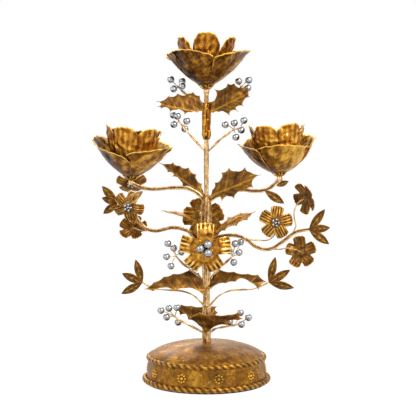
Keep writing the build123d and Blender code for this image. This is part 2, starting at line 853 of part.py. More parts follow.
for name, flower in (PEARL_FLOWERS | BEAD_FLOWERS).items():
    petals = bloom(flower.radius, flower.cup, flower.curl, flower.turn)
    head = Vector(*flower.centre) + Vector(*flower.towards).normalized() * (flower_sheet + pin_head)
    with BuildPart() as head_and_pin:
        with Locations(facing_plane(flower.centre, flower.towards)):
            add(petals)
        if flower.held_at:
            add(bent_wire([head, flower.held_at], pin_radius))
    keep(head_and_pin, name)

with BuildPart() as pearls:
    for flower in PEARL_FLOWERS.values():
        seat = facing_plane(flower.centre, flower.towards)
        with Locations(seat.offset(flower_sheet + flower.cup * 0.52 + pearl_lift)):
            with PolarLocations(pearl_ring, pearls_each, start_angle=pearl_turn):
                Sphere(pearl_radius)
keep(pearls, "pearls", len(PEARL_FLOWERS) * pearls_each)

with BuildPart() as flower_beads:
    for flower in BEAD_FLOWERS.values():
        with Locations(facing_plane(flower.centre, flower.towards).offset(flower_sheet + bead_lift)):
            Sphere(bead_centre_radius, arc_size1=0)
            with PolarLocations(bead_ring, beads_round):
                Sphere(bead_radius, arc_size1=0)
keep(flower_beads, "flower_beads", len(BEAD_FLOWERS) * (1 + beads_round))

for name, routes in BRANCHES.items():
    main_radius = branch_radius if name.startswith("branch") else twig_radius
    tubes = [bent_wire(routes["main"], main_radius)]
    tubes += [bent_wire(route, wire_radius) for route in routes["wires"]]
    with BuildPart() as branch:
        add(tubes)
    keep(branch, name)

# Small smooth leaves at the ends of branches and twigs and along the right arm
LEAFLETS = {
    "leaflets_branch_left": {
        LEFT_WIRES[1][-1]: [(-125.3, 3, 238.2), (-125.6, 1, 224.3), (-123.8, -1, 205.2)],
    },
    "leaflets_branch_right": {
        BRANCHES["branch_right"]["main"][-1]: [(142.4, 1, 210.4), (148.6, -2, 188.4), (147.6, -2, 168.3)],
    },
    "leaflets_twigs": {
        BRANCHES["twig_left"]["main"][-1]: [(-85.6, 6, 148.8), (-102, 4, 132.2), (-102.7, 1, 107.6)],
        BRANCHES["twig_right"]["main"][-1]: [(83.3, 6, 152), (101, 4, 136.4), (105.8, 1, 114.8)],
    },
    "leaflets_arm_right": {
        (84, -1, 238.8): [(98.4, -3, 244.6)],
        (70, -1, 233): [(93.2, -4, 217.8)],
    },
}
for name, feet in LEAFLETS.items():
    spots = [(foot, tip) for foot, tips in feet.items() for tip in tips]
    with BuildPart() as group:
        for foot, tip in spots:
            length = (Vector(*tip) - Vector(*foot)).length
            leaf = plain_leaf(length, min(leaflet_width, leaflet_share * length), leaflet_bow)
            with Locations(leaf_plane(foot, tip)):
                add(leaf)
    keep(group, name, len(spots))

# Berry sprays: a stalk from the stem that splits into a fine wire to each silver berry
SPRAYS = {
    "top": {
        "left": ([(0, 2, 331), (-3.5, 3, 336), (-14, 7, 342), (-27, 9, 350), (-33, 8, 356.5)],
                 [(-42.5, 8, 365.7), (-28.9, 14, 363.4), (-28.9, 3.6, 358), (-39.1, 4, 354.6)]),
        "right": ([(0, 2, 331), (4, 3, 336), (20, 8, 343), (36, 9, 352), (42, 8, 357.2)],
                  [(38.5, 8, 363.6), (50.6, 8, 364.9), (49.4, 8, 355.4)]),
    },
    "upper": {
        "left": ([(0, 0, 277), (-2.5, 0, 281), (-17.2, 0, 297.4), (-27, 0, 309), (-33, 0, 316.5)],
                 [(-39.4, 5, 323.2), (-34.5, -4.4, 322.6), (-23.5, 0, 316.6), (-38.8, 0, 312.4),
                  (-25.8, 6.4, 306.6)]),
        "right": ([(0, 0, 277), (3, 0, 281), (15, 0, 293), (24, 0, 300), (33, 0, 306.6)],
                  [(22.4, 0, 312.1), (33.3, -3, 314.4), (44.7, 0, 317.3), (41.6, 0, 305.8),
                   (35.2, 0, 297.2)]),
    },
    "middle": {
        "left": ([(0, 2, 120), (-4.1, 2, 125), (-16, 2, 134.5), (-29.4, 1, 145.3), (-37, 0, 154)],
                 [(-46.4, 0, 169), (-39.4, 3.4, 163), (-30.2, 8, 157.4), (-48, 0, 153), (-42.7, 0, 141.7)]),
        "right": ([(0, 2, 120), (5, 2, 127), (14, 3, 137), (24, 3, 146), (31, 2, 153)],
                  [(34.4, -3, 169.2), (41.4, 5, 170.2), (27.6, 7, 159.2), (39.4, 0, 158.2), (33, -2, 146.4)]),
    },
    "bottom": {
        "left": ([(0, 0, 57), (-4.1, -1, 60.5), (-18.7, -2, 68.8), (-30.7, -3, 75), (-38, -3, 80.5)],
                 [(-55, 0, 87.5), (-45.4, 3, 89.6), (-35.6, -2, 91.5), (-48.2, 2, 79), (-34.4, 6, 72)]),
        "right": ([(0, 0, 57), (5, -1, 60.5), (10, -1, 65), (21.1, -1, 67.6), (34, -1, 69.4)],
                  [(41.4, 9, 83.1), (50.9, 2, 78.5), (42.4, -5, 71.4), (28.3, 5, 72.6)]),
    },
}
berry_groups = {"berries_upper": ("top", "upper"), "berries_lower": ("middle", "bottom")}
for label, levels in berry_groups.items():
    with BuildPart() as group:
        for level in levels:
            for _, spots in SPRAYS[level].values():
                with Locations(*spots):
                    Sphere(berry_radius)
    keep(group, label, sum(len(spots) for level in levels for _, spots in SPRAYS[level].values()))

for level, sprays in SPRAYS.items():
    tubes = []
    for stalk, spots in sprays.values():
        tubes.append(bent_wire(stalk, stalk_radius))
        for spot in spots:
            start = min(stalk[2:], key=lambda point: (Vector(*point) - Vector(*spot)).length)
            tubes.append(bent_wire([start, spot], berry_wire_radius))
    with BuildPart() as stalks:
        add(tubes)
    keep(stalks, f"stalks_{level}", len(sprays))
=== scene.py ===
import math

import bpy
import numpy as np
from mathutils import Matrix, Vector
from mathutils.geometry import delaunay_2d_cdt


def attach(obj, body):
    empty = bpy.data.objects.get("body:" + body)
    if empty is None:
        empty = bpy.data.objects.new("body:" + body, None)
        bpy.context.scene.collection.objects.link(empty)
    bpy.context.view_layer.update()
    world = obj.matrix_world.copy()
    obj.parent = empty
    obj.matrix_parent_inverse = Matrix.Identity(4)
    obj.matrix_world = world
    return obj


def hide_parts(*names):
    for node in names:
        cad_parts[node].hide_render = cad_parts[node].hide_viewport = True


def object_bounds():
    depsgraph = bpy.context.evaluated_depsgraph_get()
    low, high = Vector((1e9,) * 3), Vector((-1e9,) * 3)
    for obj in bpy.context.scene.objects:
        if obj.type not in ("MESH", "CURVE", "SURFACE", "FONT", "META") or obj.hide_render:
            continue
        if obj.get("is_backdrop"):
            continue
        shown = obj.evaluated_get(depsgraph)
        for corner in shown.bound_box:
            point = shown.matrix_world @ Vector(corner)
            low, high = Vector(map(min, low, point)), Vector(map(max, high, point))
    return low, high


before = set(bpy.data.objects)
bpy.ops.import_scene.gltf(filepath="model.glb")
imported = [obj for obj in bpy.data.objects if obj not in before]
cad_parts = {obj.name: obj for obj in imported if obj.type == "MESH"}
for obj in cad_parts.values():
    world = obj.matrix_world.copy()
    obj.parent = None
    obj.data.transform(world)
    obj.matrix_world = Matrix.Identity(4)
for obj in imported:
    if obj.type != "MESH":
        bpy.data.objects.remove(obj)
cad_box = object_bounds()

# The looks of a gilt three-light candelabra. Shapes are written in millimetres in the shared frame, with +Z
# up and the front towards -Y, and go to metres when a mesh is made.
MM = 0.001
rng = np.random.default_rng(11)


# Materials
def srgb(red, green, blue):
    """A colour as a picture shows it, from 0 to 255, as the linear colour that a shader takes."""
    values = [channel / 255 for channel in (red, green, blue)]
    return tuple(v / 12.92 if v <= 0.04045 else ((v + 0.055) / 1.055) ** 2.4 for v in values) + (1.0,)


class Surface:
    """A node material being made: its shader, and short ways to add what leads to it."""

    def __init__(self, name):
        self.material = bpy.data.materials.new(name)
        self.material.use_nodes = True
        self.tree = self.material.node_tree
        self.shader = self.tree.nodes["Principled BSDF"]

    def node(self, kind, **settings):
        """A new node. A setting names a socket, with _ for a space, or else a property."""
        made = self.tree.nodes.new(kind)
        for key, value in settings.items():
            socket = key.replace("_", " ")
            if socket in made.inputs:
                made.inputs[socket].default_value = value
            else:
                setattr(made, key, value)
        return made

    def link(self, source, socket):
        self.tree.links.new(source, socket)

    def shade(self, **sources):
        """Links or sets the shader's own sockets."""
        for key, source in sources.items():
            socket = self.shader.inputs[key.replace("_", " ")]
            if isinstance(source, bpy.types.NodeSocket):
                self.link(source, socket)
            else:
                socket.default_value = source

    def noise(self, scale, detail, roughness=0.5):
        """Noise in the object's own space."""
        texture = self.node("ShaderNodeTexNoise", Scale=scale, Detail=detail, Roughness=roughness)
        self.link(self.node("ShaderNodeTexCoord").outputs["Object"], texture.inputs["Vector"])
        return texture.outputs["Fac"]

    def ranged(self, source, **limits):
        made = self.node("ShaderNodeMapRange", **limits)
        self.link(source, made.inputs["Value"])
        return made.outputs["Result"]

    def mixed(self, value, source, amount, centre=0.5):
        """value plus amount times how far source is from its centre."""
        scaled = self.node("ShaderNodeMath", operation="MULTIPLY_ADD")
        self.link(source, scaled.inputs[0])
        scaled.inputs[1].default_value = amount
        scaled.inputs[2].default_value = -amount * centre
        total = self.node("ShaderNodeMath", operation="ADD")
        self.link(value, total.inputs[0])
        self.link(scaled.outputs[0], total.inputs[1])
        return total.outputs[0]

    def coloured(self, source, low, high, between=()):
        """A ramp from one (position, colour) to another, through those between."""
        ramp = self.node("ShaderNodeValToRGB")
        elements = ramp.color_ramp.elements
        for index, (position, colour) in enumerate((low, high)):
            elements[index].position = position
            elements[index].color = srgb(*colour)
        for position, colour in between:
            elements.new(position).color = srgb(*colour)
        self.link(source, ramp.inputs["Fac"])
        return ramp.outputs["Color"]

    def bump(self, source, strength, distance, under=None):
        made = self.node("ShaderNodeBump", Strength=strength, Distance=distance)
        self.link(source, made.inputs["Height"])
        if under:
            self.link(under, made.inputs["Normal"])
        return made.outputs["Normal"]


PATINA_COLOUR = (58, 50, 22)


def gilt(name, dark, middle, light, roughness=0.38, metallic=0.72, patina=0.0, cloud=1.0):
    """Antique gilding: painted shade in the hollows and painted highlights on the ridges and rims, edges worn
    light, mottled, with a fine cast grain.

    The piece's own tone attribute, 0 in a hollow and 1 on a ridge, leads; it carries painted shade and
    painted highlights, with some uneven tone. Noise breaks it up, more with cloud, and patina says how
    strongly dark green spots cover it.
    """
    surface = Surface(name)
    mottle = surface.noise(230.0, 6.0, 0.66)
    speck = surface.noise(820.0, 3.0, 0.6)
    corner = surface.node("ShaderNodeNewGeometry").outputs["Pointiness"]
    worn = surface.ranged(corner, From_Min=0.5, From_Max=0.62, To_Max=0.28)
    # The tone attribute: painted shade and painted highlights set on each piece, with some uneven tone
    level = surface.node("ShaderNodeAttribute", attribute_name="tone").outputs["Fac"]
    level = surface.mixed(level, mottle, 1.15 * cloud)
    level = surface.mixed(level, surface.noise(62.0, 4.0, 0.55), 0.55 * cloud)
    level = surface.mixed(level, speck, 0.75)
    level = surface.mixed(level, worn, 1.0, 0)
    colour = surface.coloured(level, (0.12, dark), (1.0, light), [(0.52, middle)])
    spots = surface.ranged(surface.noise(42.0, 5.0, 0.7), From_Min=0.57, From_Max=0.7, To_Max=patina)
    cover = surface.node("ShaderNodeMix", data_type="RGBA")
    surface.link(spots, cover.inputs[0])
    surface.link(colour, cover.inputs[6])
    cover.inputs[7].default_value = srgb(*PATINA_COLOUR)
    rough = surface.ranged(mottle, To_Min=roughness - 0.1, To_Max=roughness + 0.16)
    relief = surface.bump(speck, 0.3, 0.0002, surface.bump(mottle, 0.5, 0.0006))
    surface.shade(Base_Color=cover.outputs[2], Roughness=rough, Metallic=metallic, Normal=relief)
    return surface.material


def plain_metal(name, colour, roughness, metallic=1.0, scale=300.0):
    """A bare metal with a little unevenness in its gloss and surface."""
    surface = Surface(name)
    noise = surface.noise(scale, 4.0)
    shade = surface.coloured(noise, (0.25, [channel * 0.62 for channel in colour]), (0.75, colour))
    rough = surface.ranged(noise, To_Min=roughness * 0.7, To_Max=roughness * 1.4)
    relief = surface.bump(noise, 0.25, 0.0003)
    surface.shade(Base_Color=shade, Roughness=rough, Metallic=metallic, Normal=relief)
    return surface.material


def felt(name, dark, light):
    """Felt with a soft nap."""
    surface = Surface(name)
    nap = surface.noise(900.0, 6.0)
    colour = surface.coloured(nap, (0.0, dark), (1.0, light))
    surface.shade(Base_Color=colour, Roughness=0.95, Normal=surface.bump(nap, 0.6, 0.0005))
    return surface.material


CUP_GILT = gilt(
    "cup gilding", (38, 17, 2), (136, 86, 14), (240, 186, 78),
    roughness=0.33, metallic=0.8, patina=0.45, cloud=0.6,
)
INNER_GILT = gilt(
    "inner cup gilding", (58, 26, 2), (158, 94, 10), (255, 200, 82),
    roughness=0.3, metallic=0.8, patina=0.35, cloud=0.5,
)
LEAF_GILT = gilt(
    "leaf gilding", (52, 30, 5), (112, 72, 14), (184, 132, 42), roughness=0.46, patina=0.2, cloud=0.45
)
FLOWER_GILT = gilt(
    "flower gilding", (80, 42, 4), (186, 122, 22), (255, 224, 132), roughness=0.28, patina=0.25
)
BROWN_GILT = gilt(
    "brown flower gilding", (54, 30, 5), (124, 80, 19), (212, 158, 66), roughness=0.42, patina=0.2, cloud=0.6
)
WIRE_GILT = gilt(
    "wire gilding", (98, 60, 22), (184, 140, 82), (248, 220, 168), roughness=0.34, patina=0.2
)
BASE_GILT = gilt("base gilding", (76, 42, 5), (138, 88, 12), (220, 166, 54), patina=0.85)
SILVER = plain_metal("silvered bead", (204, 206, 210), 0.27, scale=420.0)
SOCKET_GILT = plain_metal("socket gilding", (188, 128, 44), 0.4)
IRON = plain_metal("cast iron", (70, 70, 72), 0.7, 0.8)
STEEL = plain_metal("zinc plated steel", (186, 186, 190), 0.35)
FELT = felt("dark felt", (30, 22, 14), (70, 54, 38))


# Mesh helpers
class Shape:
    """Points, faces and tones gathered into one mesh."""

    def __init__(self):
        self.points, self.faces, self.tones, self.count = [], [], [], 0

    def add(self, points, faces, tones=0.5):
        points = np.asarray(points, float).reshape(-1, 3)
        self.points.append(points)
        self.faces += [tuple(index + self.count for index in face) for face in faces]
        tones = np.asarray(tones, float).reshape(-1) if np.ndim(tones) else tones
        self.tones.append(np.broadcast_to(tones, len(points)))
        self.count += len(points)
        return self

    def make(self, name, material, slot, replaces=(), thickness=0.0, seat=None):
        """The finished piece: carried to its seat, shaded smooth, with sheet thickness where asked."""
        points = np.concatenate(self.points)
        if seat is not None:
            points = moved(points, seat)
        mesh = bpy.data.meshes.new(name)
        mesh.from_pydata((points * MM).tolist(), [], self.faces)
        mesh.attributes.new("tone", "FLOAT", "POINT").data.foreach_set("value", np.concatenate(self.tones))
        mesh.update()
        mesh.shade_smooth()
        piece = bpy.data.objects.new(name, mesh)
        bpy.context.scene.collection.objects.link(piece)
        if thickness:
            sheet = piece.modifiers.new("sheet", "SOLIDIFY")
            sheet.thickness = thickness * MM
            sheet.offset = 0
            sheet.use_even_offset = False
        mesh.materials.append(material)
        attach(piece, "root")
        if replaces:
            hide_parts(*replaces)
        return piece


def grid_faces(rows, columns, around=False, along=False):
    """Four-cornered faces between rows of points, closed around or along where asked."""
    faces = []
    for row in range(rows if along else rows - 1):
        here = row * columns
        below = (row + 1) % rows * columns
        for column in range(columns if around else columns - 1):
            right = (column + 1) % columns
            faces.append((here + column, here + right, below + right, below + column))
    return faces


def full_turn(count):
    """Even directions round a circle."""
    return np.linspace(0, 2 * math.pi, count, endpoint=False)


def around_z(reach, azimuth, height):
    """Points at a reach and an azimuth from the Z axis."""
    return np.stack(np.broadcast_arrays(reach * np.cos(azimuth), reach * np.sin(azimuth), height), axis=-1)


def rising(value, start, span):
    """0 up to start, 1 from start plus span on, and straight between."""
    return np.clip((value - start) / span, 0, 1)


WAVES = rng.normal(size=(64, 3))
WAVES /= np.linalg.norm(WAVES, axis=1)[:, None]
PHASES = rng.uniform(0, 2 * math.pi, 64)


def ripple(points, size, seed=0, terms=7):
    """Smooth uneven waves of about a size, from -1 to 1, over points."""
    points = np.asarray(points, float)
    total = np.zeros(points.shape[:-1])
    for index in range(terms):
        pick = (seed * 7 + index) % len(WAVES)
        total += np.sin(points @ WAVES[pick] * 2 * math.pi / (size * (0.75 + 0.08 * index)) + PHASES[pick])
    return total / math.sqrt(terms) * 0.8


def smooth_path(points, steps=8):
    """A smooth curve through points: Catmull-Rom, evenly stepped between each two."""
    points = np.asarray(points, float)
    ends = np.vstack([2 * points[0] - points[1], points, 2 * points[-1] - points[-2]])
    path = []
    for before, start, end, after in zip(ends, ends[1:], ends[2:], ends[3:]):
        for t in np.linspace(0, 1, steps, endpoint=False):
            bend = 2 * before - 5 * start + 4 * end - after
            twist = 3 * start - before - 3 * end + after
            path.append(0.5 * (2 * start + (end - before) * t + bend * t**2 + twist * t**3))
    path.append(points[-1])
    return np.array(path)


def frames_along(path):
    """Unit side and up directions at each point of a path, turned as little as possible."""
    ahead = np.gradient(path, axis=0)
    ahead /= np.linalg.norm(ahead, axis=1)[:, None]
    side = np.cross(ahead[0], (0, 0, 1.0))
    if np.linalg.norm(side) < 0.05:
        side = np.cross(ahead[0], (0, 1.0, 0))
    sides = []
    for direction in ahead:
        side = side - direction * side.dot(direction)
        side /= np.linalg.norm(side)
        sides.append(side)
    sides = np.array(sides)
    return sides, np.cross(sides, ahead)


def tube(shape, path, radius, sides=10, tone=0.5, uneven=0.06, seed=0):
    """A round wire along a path with closed ends. The radius may change along it."""
    radii = np.broadcast_to(radius, len(path)).astype(float)
    side, up = frames_along(path)
    angles = full_turn(sides)[None, :, None]
    ring = np.cos(angles) * side[:, None, :] + np.sin(angles) * up[:, None, :]
    swell = 1 + uneven * ripple(path[:, None, :] + ring * radii[:, None, None], 7.0, seed)
    points = path[:, None, :] + ring * (radii[:, None] * swell)[:, :, None]
    tones = tone + 0.18 * ripple(points, 11.0, seed + 3)
    faces = grid_faces(len(path), sides, around=True)
    last = (len(path) - 1) * sides
    faces.append(tuple(reversed(range(sides))))
    faces.append(tuple(range(last, last + sides)))
    shape.add(points, faces, tones)


def wire_pair(shape, path, spread, radius, turns, tone, sides, phase, ends, seed):
    """Two wires side by side along a path, turning slowly about it and closing up at its ends."""
    side, up = frames_along(path)
    share = np.linspace(0, 1, len(path))
    close = np.minimum(1, ends + (1 - ends) * np.minimum(share, 1 - share) * 9)
    for strand in range(2):
        angle = phase + 2 * math.pi * (strand / 2 + turns * share)
        shift = np.cos(angle)[:, None] * side + np.sin(angle)[:, None] * up
        shift *= (spread * close)[:, None]
        tube(shape, path + shift, radius, sides, tone + 0.1 * math.sin(strand * 2.3), seed=seed + strand)


def ball(shape, centre, radius, rings=14, sides=20, tone=0.5, squash=1.0, axis=(0, 0, 1)):
    """A bead with its pole along an axis."""
    axis = np.array(Vector(axis).normalized())
    side = np.array(Vector(axis).orthogonal().normalized())
    up = np.cross(axis, side)
    polar = np.linspace(0, math.pi, rings + 1)[1:-1]
    angles = full_turn(sides)
    ring = np.cos(angles)[None, :, None] * side + np.sin(angles)[None, :, None] * up
    points = ring * np.sin(polar)[:, None, None] + axis * (np.cos(polar) * squash)[:, None, None]
    points = np.array(centre) + radius * points.reshape(-1, 3)
    poles = np.array([np.array(centre) + axis * radius * squash, np.array(centre) - axis * radius * squash])
    count = len(points)
    faces = grid_faces(rings - 1, sides, around=True)
    faces += [(count, (c + 1) % sides, c) for c in range(sides)]
    low = (rings - 2) * sides
    faces += [(count + 1, low + c, low + (c + 1) % sides) for c in range(sides)]
    shape.add(np.vstack([points, poles]), faces, tone)


def plane_matrix(origin, x_dir, z_dir):
    """A matrix from a plane's own directions to the shared frame."""
    z = Vector(z_dir).normalized()
    x = Vector(x_dir)
    x = (x - z * x.dot(z)).normalized()
    y = z.cross(x)
    return Matrix((
        (x.x, y.x, z.x, origin[0]),
        (x.y, y.y, z.y, origin[1]),
        (x.z, y.z, z.z, origin[2]),
        (0, 0, 0, 1),
    ))


def moved(points, matrix):
    """Points carried by a matrix."""
    matrix = np.array(matrix)
    return np.asarray(points, float) @ matrix[:3, :3].T + matrix[:3, 3]


def facing_matrix(centre, towards):
    """The plane of a flower: +Z looks towards a direction."""
    normal = Vector(towards).normalized()
    return plane_matrix(centre, Vector((0, 0, 1)).cross(normal), normal)


def leaf_matrix(foot, tip, face=(0, -1, 0)):
    """The plane of a leaf: +X to its tip, its upper face turned towards face."""
    along = Vector(tip) - Vector(foot)
    side = Vector(face).cross(along)
    return plane_matrix(foot, along, along.cross(side))


# Camera, light and ground
CAMERA_PLACE = (1.9, -2100.0, 447.0)
CAMERA_PITCH = 83.615
CAMERA_LENS = 152.36

camera = bpy.data.objects.new("camera", bpy.data.cameras.new("camera"))
camera.data.lens = CAMERA_LENS
camera.data.sensor_width = 36.0
camera.data.clip_end = 50.0
camera.location = Vector(CAMERA_PLACE) * MM
camera.rotation_euler = (math.radians(CAMERA_PITCH), 0, 0)
bpy.context.scene.collection.objects.link(camera)
bpy.context.scene.camera = camera
bpy.context.scene.view_settings.view_transform = "Standard"


def lamp(name, place, aim, size, power, colour=(1, 1, 1)):
    """A soft square lamp that looks at a point."""
    light = bpy.data.objects.new(name, bpy.data.lights.new(name, "AREA"))
    light.data.size = size
    light.data.energy = power
    light.data.color = colour
    light.location = place
    light.rotation_euler = (Vector(aim) - Vector(place)).to_track_quat("-Z", "Y").to_euler()
    bpy.context.scene.collection.objects.link(light)


middle = (0, 0, 0.22)
lamp("key lamp", (0.9, -1.1, 1.15), middle, 0.35, 20.0, (1.0, 0.97, 0.92))
lamp("fill lamp", (-1.3, -0.9, 0.7), middle, 0.9, 6.0, (0.96, 0.98, 1.0))
lamp("back lamp", (-0.3, 1.4, 1.3), middle, 0.8, 12.0)


def seen_directly(tree):
    """1 for what the camera, a reflection or a transparent surface sees, and 0 for what lights the scene."""
    rays = tree.nodes.new("ShaderNodeLightPath")
    total = rays.outputs["Is Camera Ray"]
    for name in ("Is Glossy Ray", "Is Transmission Ray"):
        either = tree.nodes.new("ShaderNodeMath")
        either.operation = "MAXIMUM"
        tree.links.new(total, either.inputs[0])
        tree.links.new(rays.outputs[name], either.inputs[1])
        total = either.outputs[0]
    return total


ROOM_LIGHT = 0.5
world = bpy.data.worlds.new("studio")
bpy.context.scene.world = world
world.use_nodes = True
tree = world.node_tree
tree.nodes.clear()
blend = tree.nodes.new("ShaderNodeMixShader")
tree.links.new(seen_directly(tree), blend.inputs[0])
for socket, strength in ((1, ROOM_LIGHT), (2, 1.0)):
    glow = tree.nodes.new("ShaderNodeBackground")
    glow.inputs["Color"].default_value = (1, 1, 1, 1)
    glow.inputs["Strength"].default_value = strength
    tree.links.new(glow.outputs[0], blend.inputs[socket])
tree.links.new(blend.outputs[0], tree.nodes.new("ShaderNodeOutputWorld").inputs[0])


def floor_material():
    """A white floor that keeps a little of the object's shadow."""
    surface = Surface("floor")
    surface.shade(Base_Color=(0.9, 0.9, 0.9, 1), Roughness=0.9, Specular_IOR_Level=0.0)
    glow = surface.node("ShaderNodeEmission", Strength=1.07)
    part = surface.node("ShaderNodeMath", operation="MULTIPLY")
    surface.link(seen_directly(surface.tree), part.inputs[0])
    part.inputs[1].default_value = 0.9
    mix = surface.node("ShaderNodeMixShader")
    for index, source in enumerate((part, surface.shader, glow)):
        surface.link(source.outputs[0], mix.inputs[index])
    surface.link(mix.outputs[0], surface.tree.nodes["Material Output"].inputs["Surface"])
    return surface.material


FLOOR_REACH = 6.0
floor_corners = [(FLOOR_REACH * x, FLOOR_REACH * y, 0) for x, y in ((-1, -1), (1, -1), (1, 1), (-1, 1))]
floor_mesh = bpy.data.meshes.new("floor")
floor_mesh.from_pydata(floor_corners, [], [(0, 1, 2, 3)])
floor_mesh.materials.append(floor_material())
floor = bpy.data.objects.new("floor", floor_mesh)
bpy.context.scene.collection.objects.link(floor)
floor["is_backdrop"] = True

# Carried-over pieces that stay as they are and take a material
CARRIED = {
    "base_felt": FELT,
    "base_weight": IRON,
    "base_washer": STEEL,
    "base_nut": STEEL,
    "cup_screws": STEEL,
    "cup_top_socket": SOCKET_GILT,
    "cup_left_socket": SOCKET_GILT,
    "cup_right_socket": SOCKET_GILT,
}
for name, material in CARRIED.items():
    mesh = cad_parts[name].data
    if len(mesh.materials):
        for index in range(len(mesh.materials)):
            mesh.materials[index] = material
    else:
        mesh.materials.append(material)

# Base: domed drum, twisted rope mouldings and rosettes
FOOT_RADIUS = 72.8
DRUM_TOP_RADIUS = 70.0
SHELL_BOTTOM = 1.6
SHELL_TOP = 31.1
DOME_TOP = 49.1


def ring_profile(points, steps=7):
    """A turned outline through (radius, height) points."""
    return smooth_path([(r, 0, z) for r, z in points], steps)[:, [0, 2]]


def turned(shape, profile, sides=180, dent=0.0, size=22.0, tone=0.5, seed=0):
    """A profile turned about Z, dented a little by hand work."""
    reach, heights = profile[:, 0][:, None], profile[:, 1][:, None]
    points = around_z(reach, full_turn(sides), heights)
    waves = ripple(points, size, seed)
    scale = 1 + dent * waves / np.maximum(reach, 8)
    points[..., :2] *= scale[..., None]
    points[..., 2] += 0.4 * dent * ripple(points, size * 1.3, seed + 2) * (heights > SHELL_BOTTOM + 0.1)
    shape.add(points, grid_faces(len(profile), sides, around=True), tone + 0.1 * waves)


SHELL_RADIUS = DRUM_TOP_RADIUS - 0.6
base = Shape()
drum = ring_profile([
    (FOOT_RADIUS - 0.8, SHELL_BOTTOM), (71.6, 8), (70.6, 16), (70.1, 24), (SHELL_RADIUS, SHELL_TOP - 0.5),
])
dome_angle = np.linspace(0, 1, 46) * math.pi / 2
dome = np.stack([
    SHELL_RADIUS * np.cos(dome_angle) ** 0.88,
    SHELL_TOP + (DOME_TOP - SHELL_TOP) * np.sin(dome_angle) ** 1.25,
], axis=1)
dome[-1, 0] = 2.9
turned(base, np.vstack([drum[:-1], dome]), 240, 0.55, 26, 0.5, 2)
base.make("base_shell_gilt", BASE_GILT, "gilt_base", ("base_shell",), thickness=1.0)

# Rope mouldings: the ring's radius, its height, the rope's radius and how many lobes go round
ROPES = {"lower": (74.3, 5.1, 3.45, 56), "upper": (69.6, SHELL_TOP, 3.1, 51)}


def rope(shape, ring_radius, height, radius, lobes, rings=10, sides=16):
    """A two-strand rope moulding: a ring whose section turns as it goes round."""
    steps = lobes * rings
    around = full_turn(steps)[:, None]
    section = full_turn(sides)[None, :]
    swell = np.abs(np.cos(section + around * lobes / 2))
    reach = radius * (0.70 + 0.34 * swell**0.8)
    points = around_z(ring_radius + reach * np.cos(section), around, height + reach * np.sin(section))
    points += 0.12 * ripple(points, 6.0, 5)[..., None]
    # Tone: painted highlight on the crests of the strands and painted shade in the grooves between them
    shape.add(points, grid_faces(steps, sides, around=True, along=True), 0.12 + 0.66 * swell**1.5)


for name, sizes in ROPES.items():
    twist = Shape()
    rope(twist, *sizes)
    twist.make(f"base_rope_{name}_twist", BASE_GILT, "gilt_base", (f"base_rope_{name}",))

ROSETTE_COUNT = 10
ROSETTE_TURN = 11.8
ROSETTE_RADIUS = 6.3
ROSETTE_HEIGHT = SHELL_BOTTOM + 29.5 * 0.52
ROSETTE_LOBES = 8
WALL_RADIUS = 69.9
WALL_LEAN = 0.09


def rosette(shape, azimuth):
    """A lobed plate on the drum's wall with a ring of beads round a larger one."""
    outward = (math.cos(azimuth), math.sin(azimuth), WALL_LEAN)
    seat = facing_matrix(around_z(WALL_RADIUS, azimuth, ROSETTE_HEIGHT), outward)
    for turn in full_turn(ROSETTE_LOBES):
        ball(shape, moved(around_z(4.4, turn, 1.3), seat), 1.7, 8, 12, 0.85, 0.85, outward)
    ball(shape, moved((0, 0, 1.3), seat), 2.2, 8, 14, 0.9, 0.8, outward)
    ring = full_turn(48)
    edge = ROSETTE_RADIUS * (0.93 + 0.07 * np.cos(ring * ROSETTE_LOBES))
    levels = ((0, 0.75), (0.45, 0.7), (0.8, 0.8), (1.0, 0.4), (1.0, -0.6))
    plate = np.array([around_z(edge * share, ring, lift) for share, lift in levels])
    shape.add(moved(plate, seat), grid_faces(len(levels), 48, around=True), 0.2)


rosettes = Shape()
for number in range(ROSETTE_COUNT):
    rosette(rosettes, math.radians(-90 + ROSETTE_TURN + number * 360 / ROSETTE_COUNT))
rosettes.make("base_rosettes_gilt", BASE_GILT, "gilt_base", ("base_rosettes",))

# Stem: bundles of soldered wires round the rod, each with its (height, outer radius) levels from the bottom
# up, and solder knots as (height, azimuth, radius)
BUNDLES = {
    "stem_foot_wires": dict(
        node="stem_foot_sleeve", count=8, wire=1.75, turns=0.05, tone=0.52, seed=1,
        levels=[(47.6, 6.3), (53, 5.5), (63, 5.2), (76, 6.2), (86, 6.0), (93, 4.6)],
    ),
    "stem_lower_wires": dict(
        node="stem_lower_bundle", count=8, wire=1.7, turns=0.06, tone=0.62, seed=11,
        levels=[(92, 4.6), (118, 4.5), (133, 5.2), (148, 6.4), (176, 7.1)],
    ),
    "stem_middle_wires": dict(
        node="stem_middle_bundle", count=9, wire=1.8, turns=0.05, tone=0.5, seed=21,
        levels=[(175, 7.1), (200, 7.2), (214, 7.0), (223, 5.4), (227, 4.3)],
    ),
    "stem_upper_wires": dict(
        node="stem_upper_sleeve", count=7, wire=1.7, turns=0.16, tone=0.5, seed=31, material=INNER_GILT,
        levels=[(295, 3.9), (300, 5.6), (307, 4.9), (325, 5.5), (333, 4.9), (338, 4.1)],
        knots=[(301, -100, 2.2), (304, -40, 1.8), (302, -150, 1.9), (318, -70, 1.7), (323, -120, 1.6),
               (331, -85, 1.8), (312, 60, 1.7)],
    ),
}


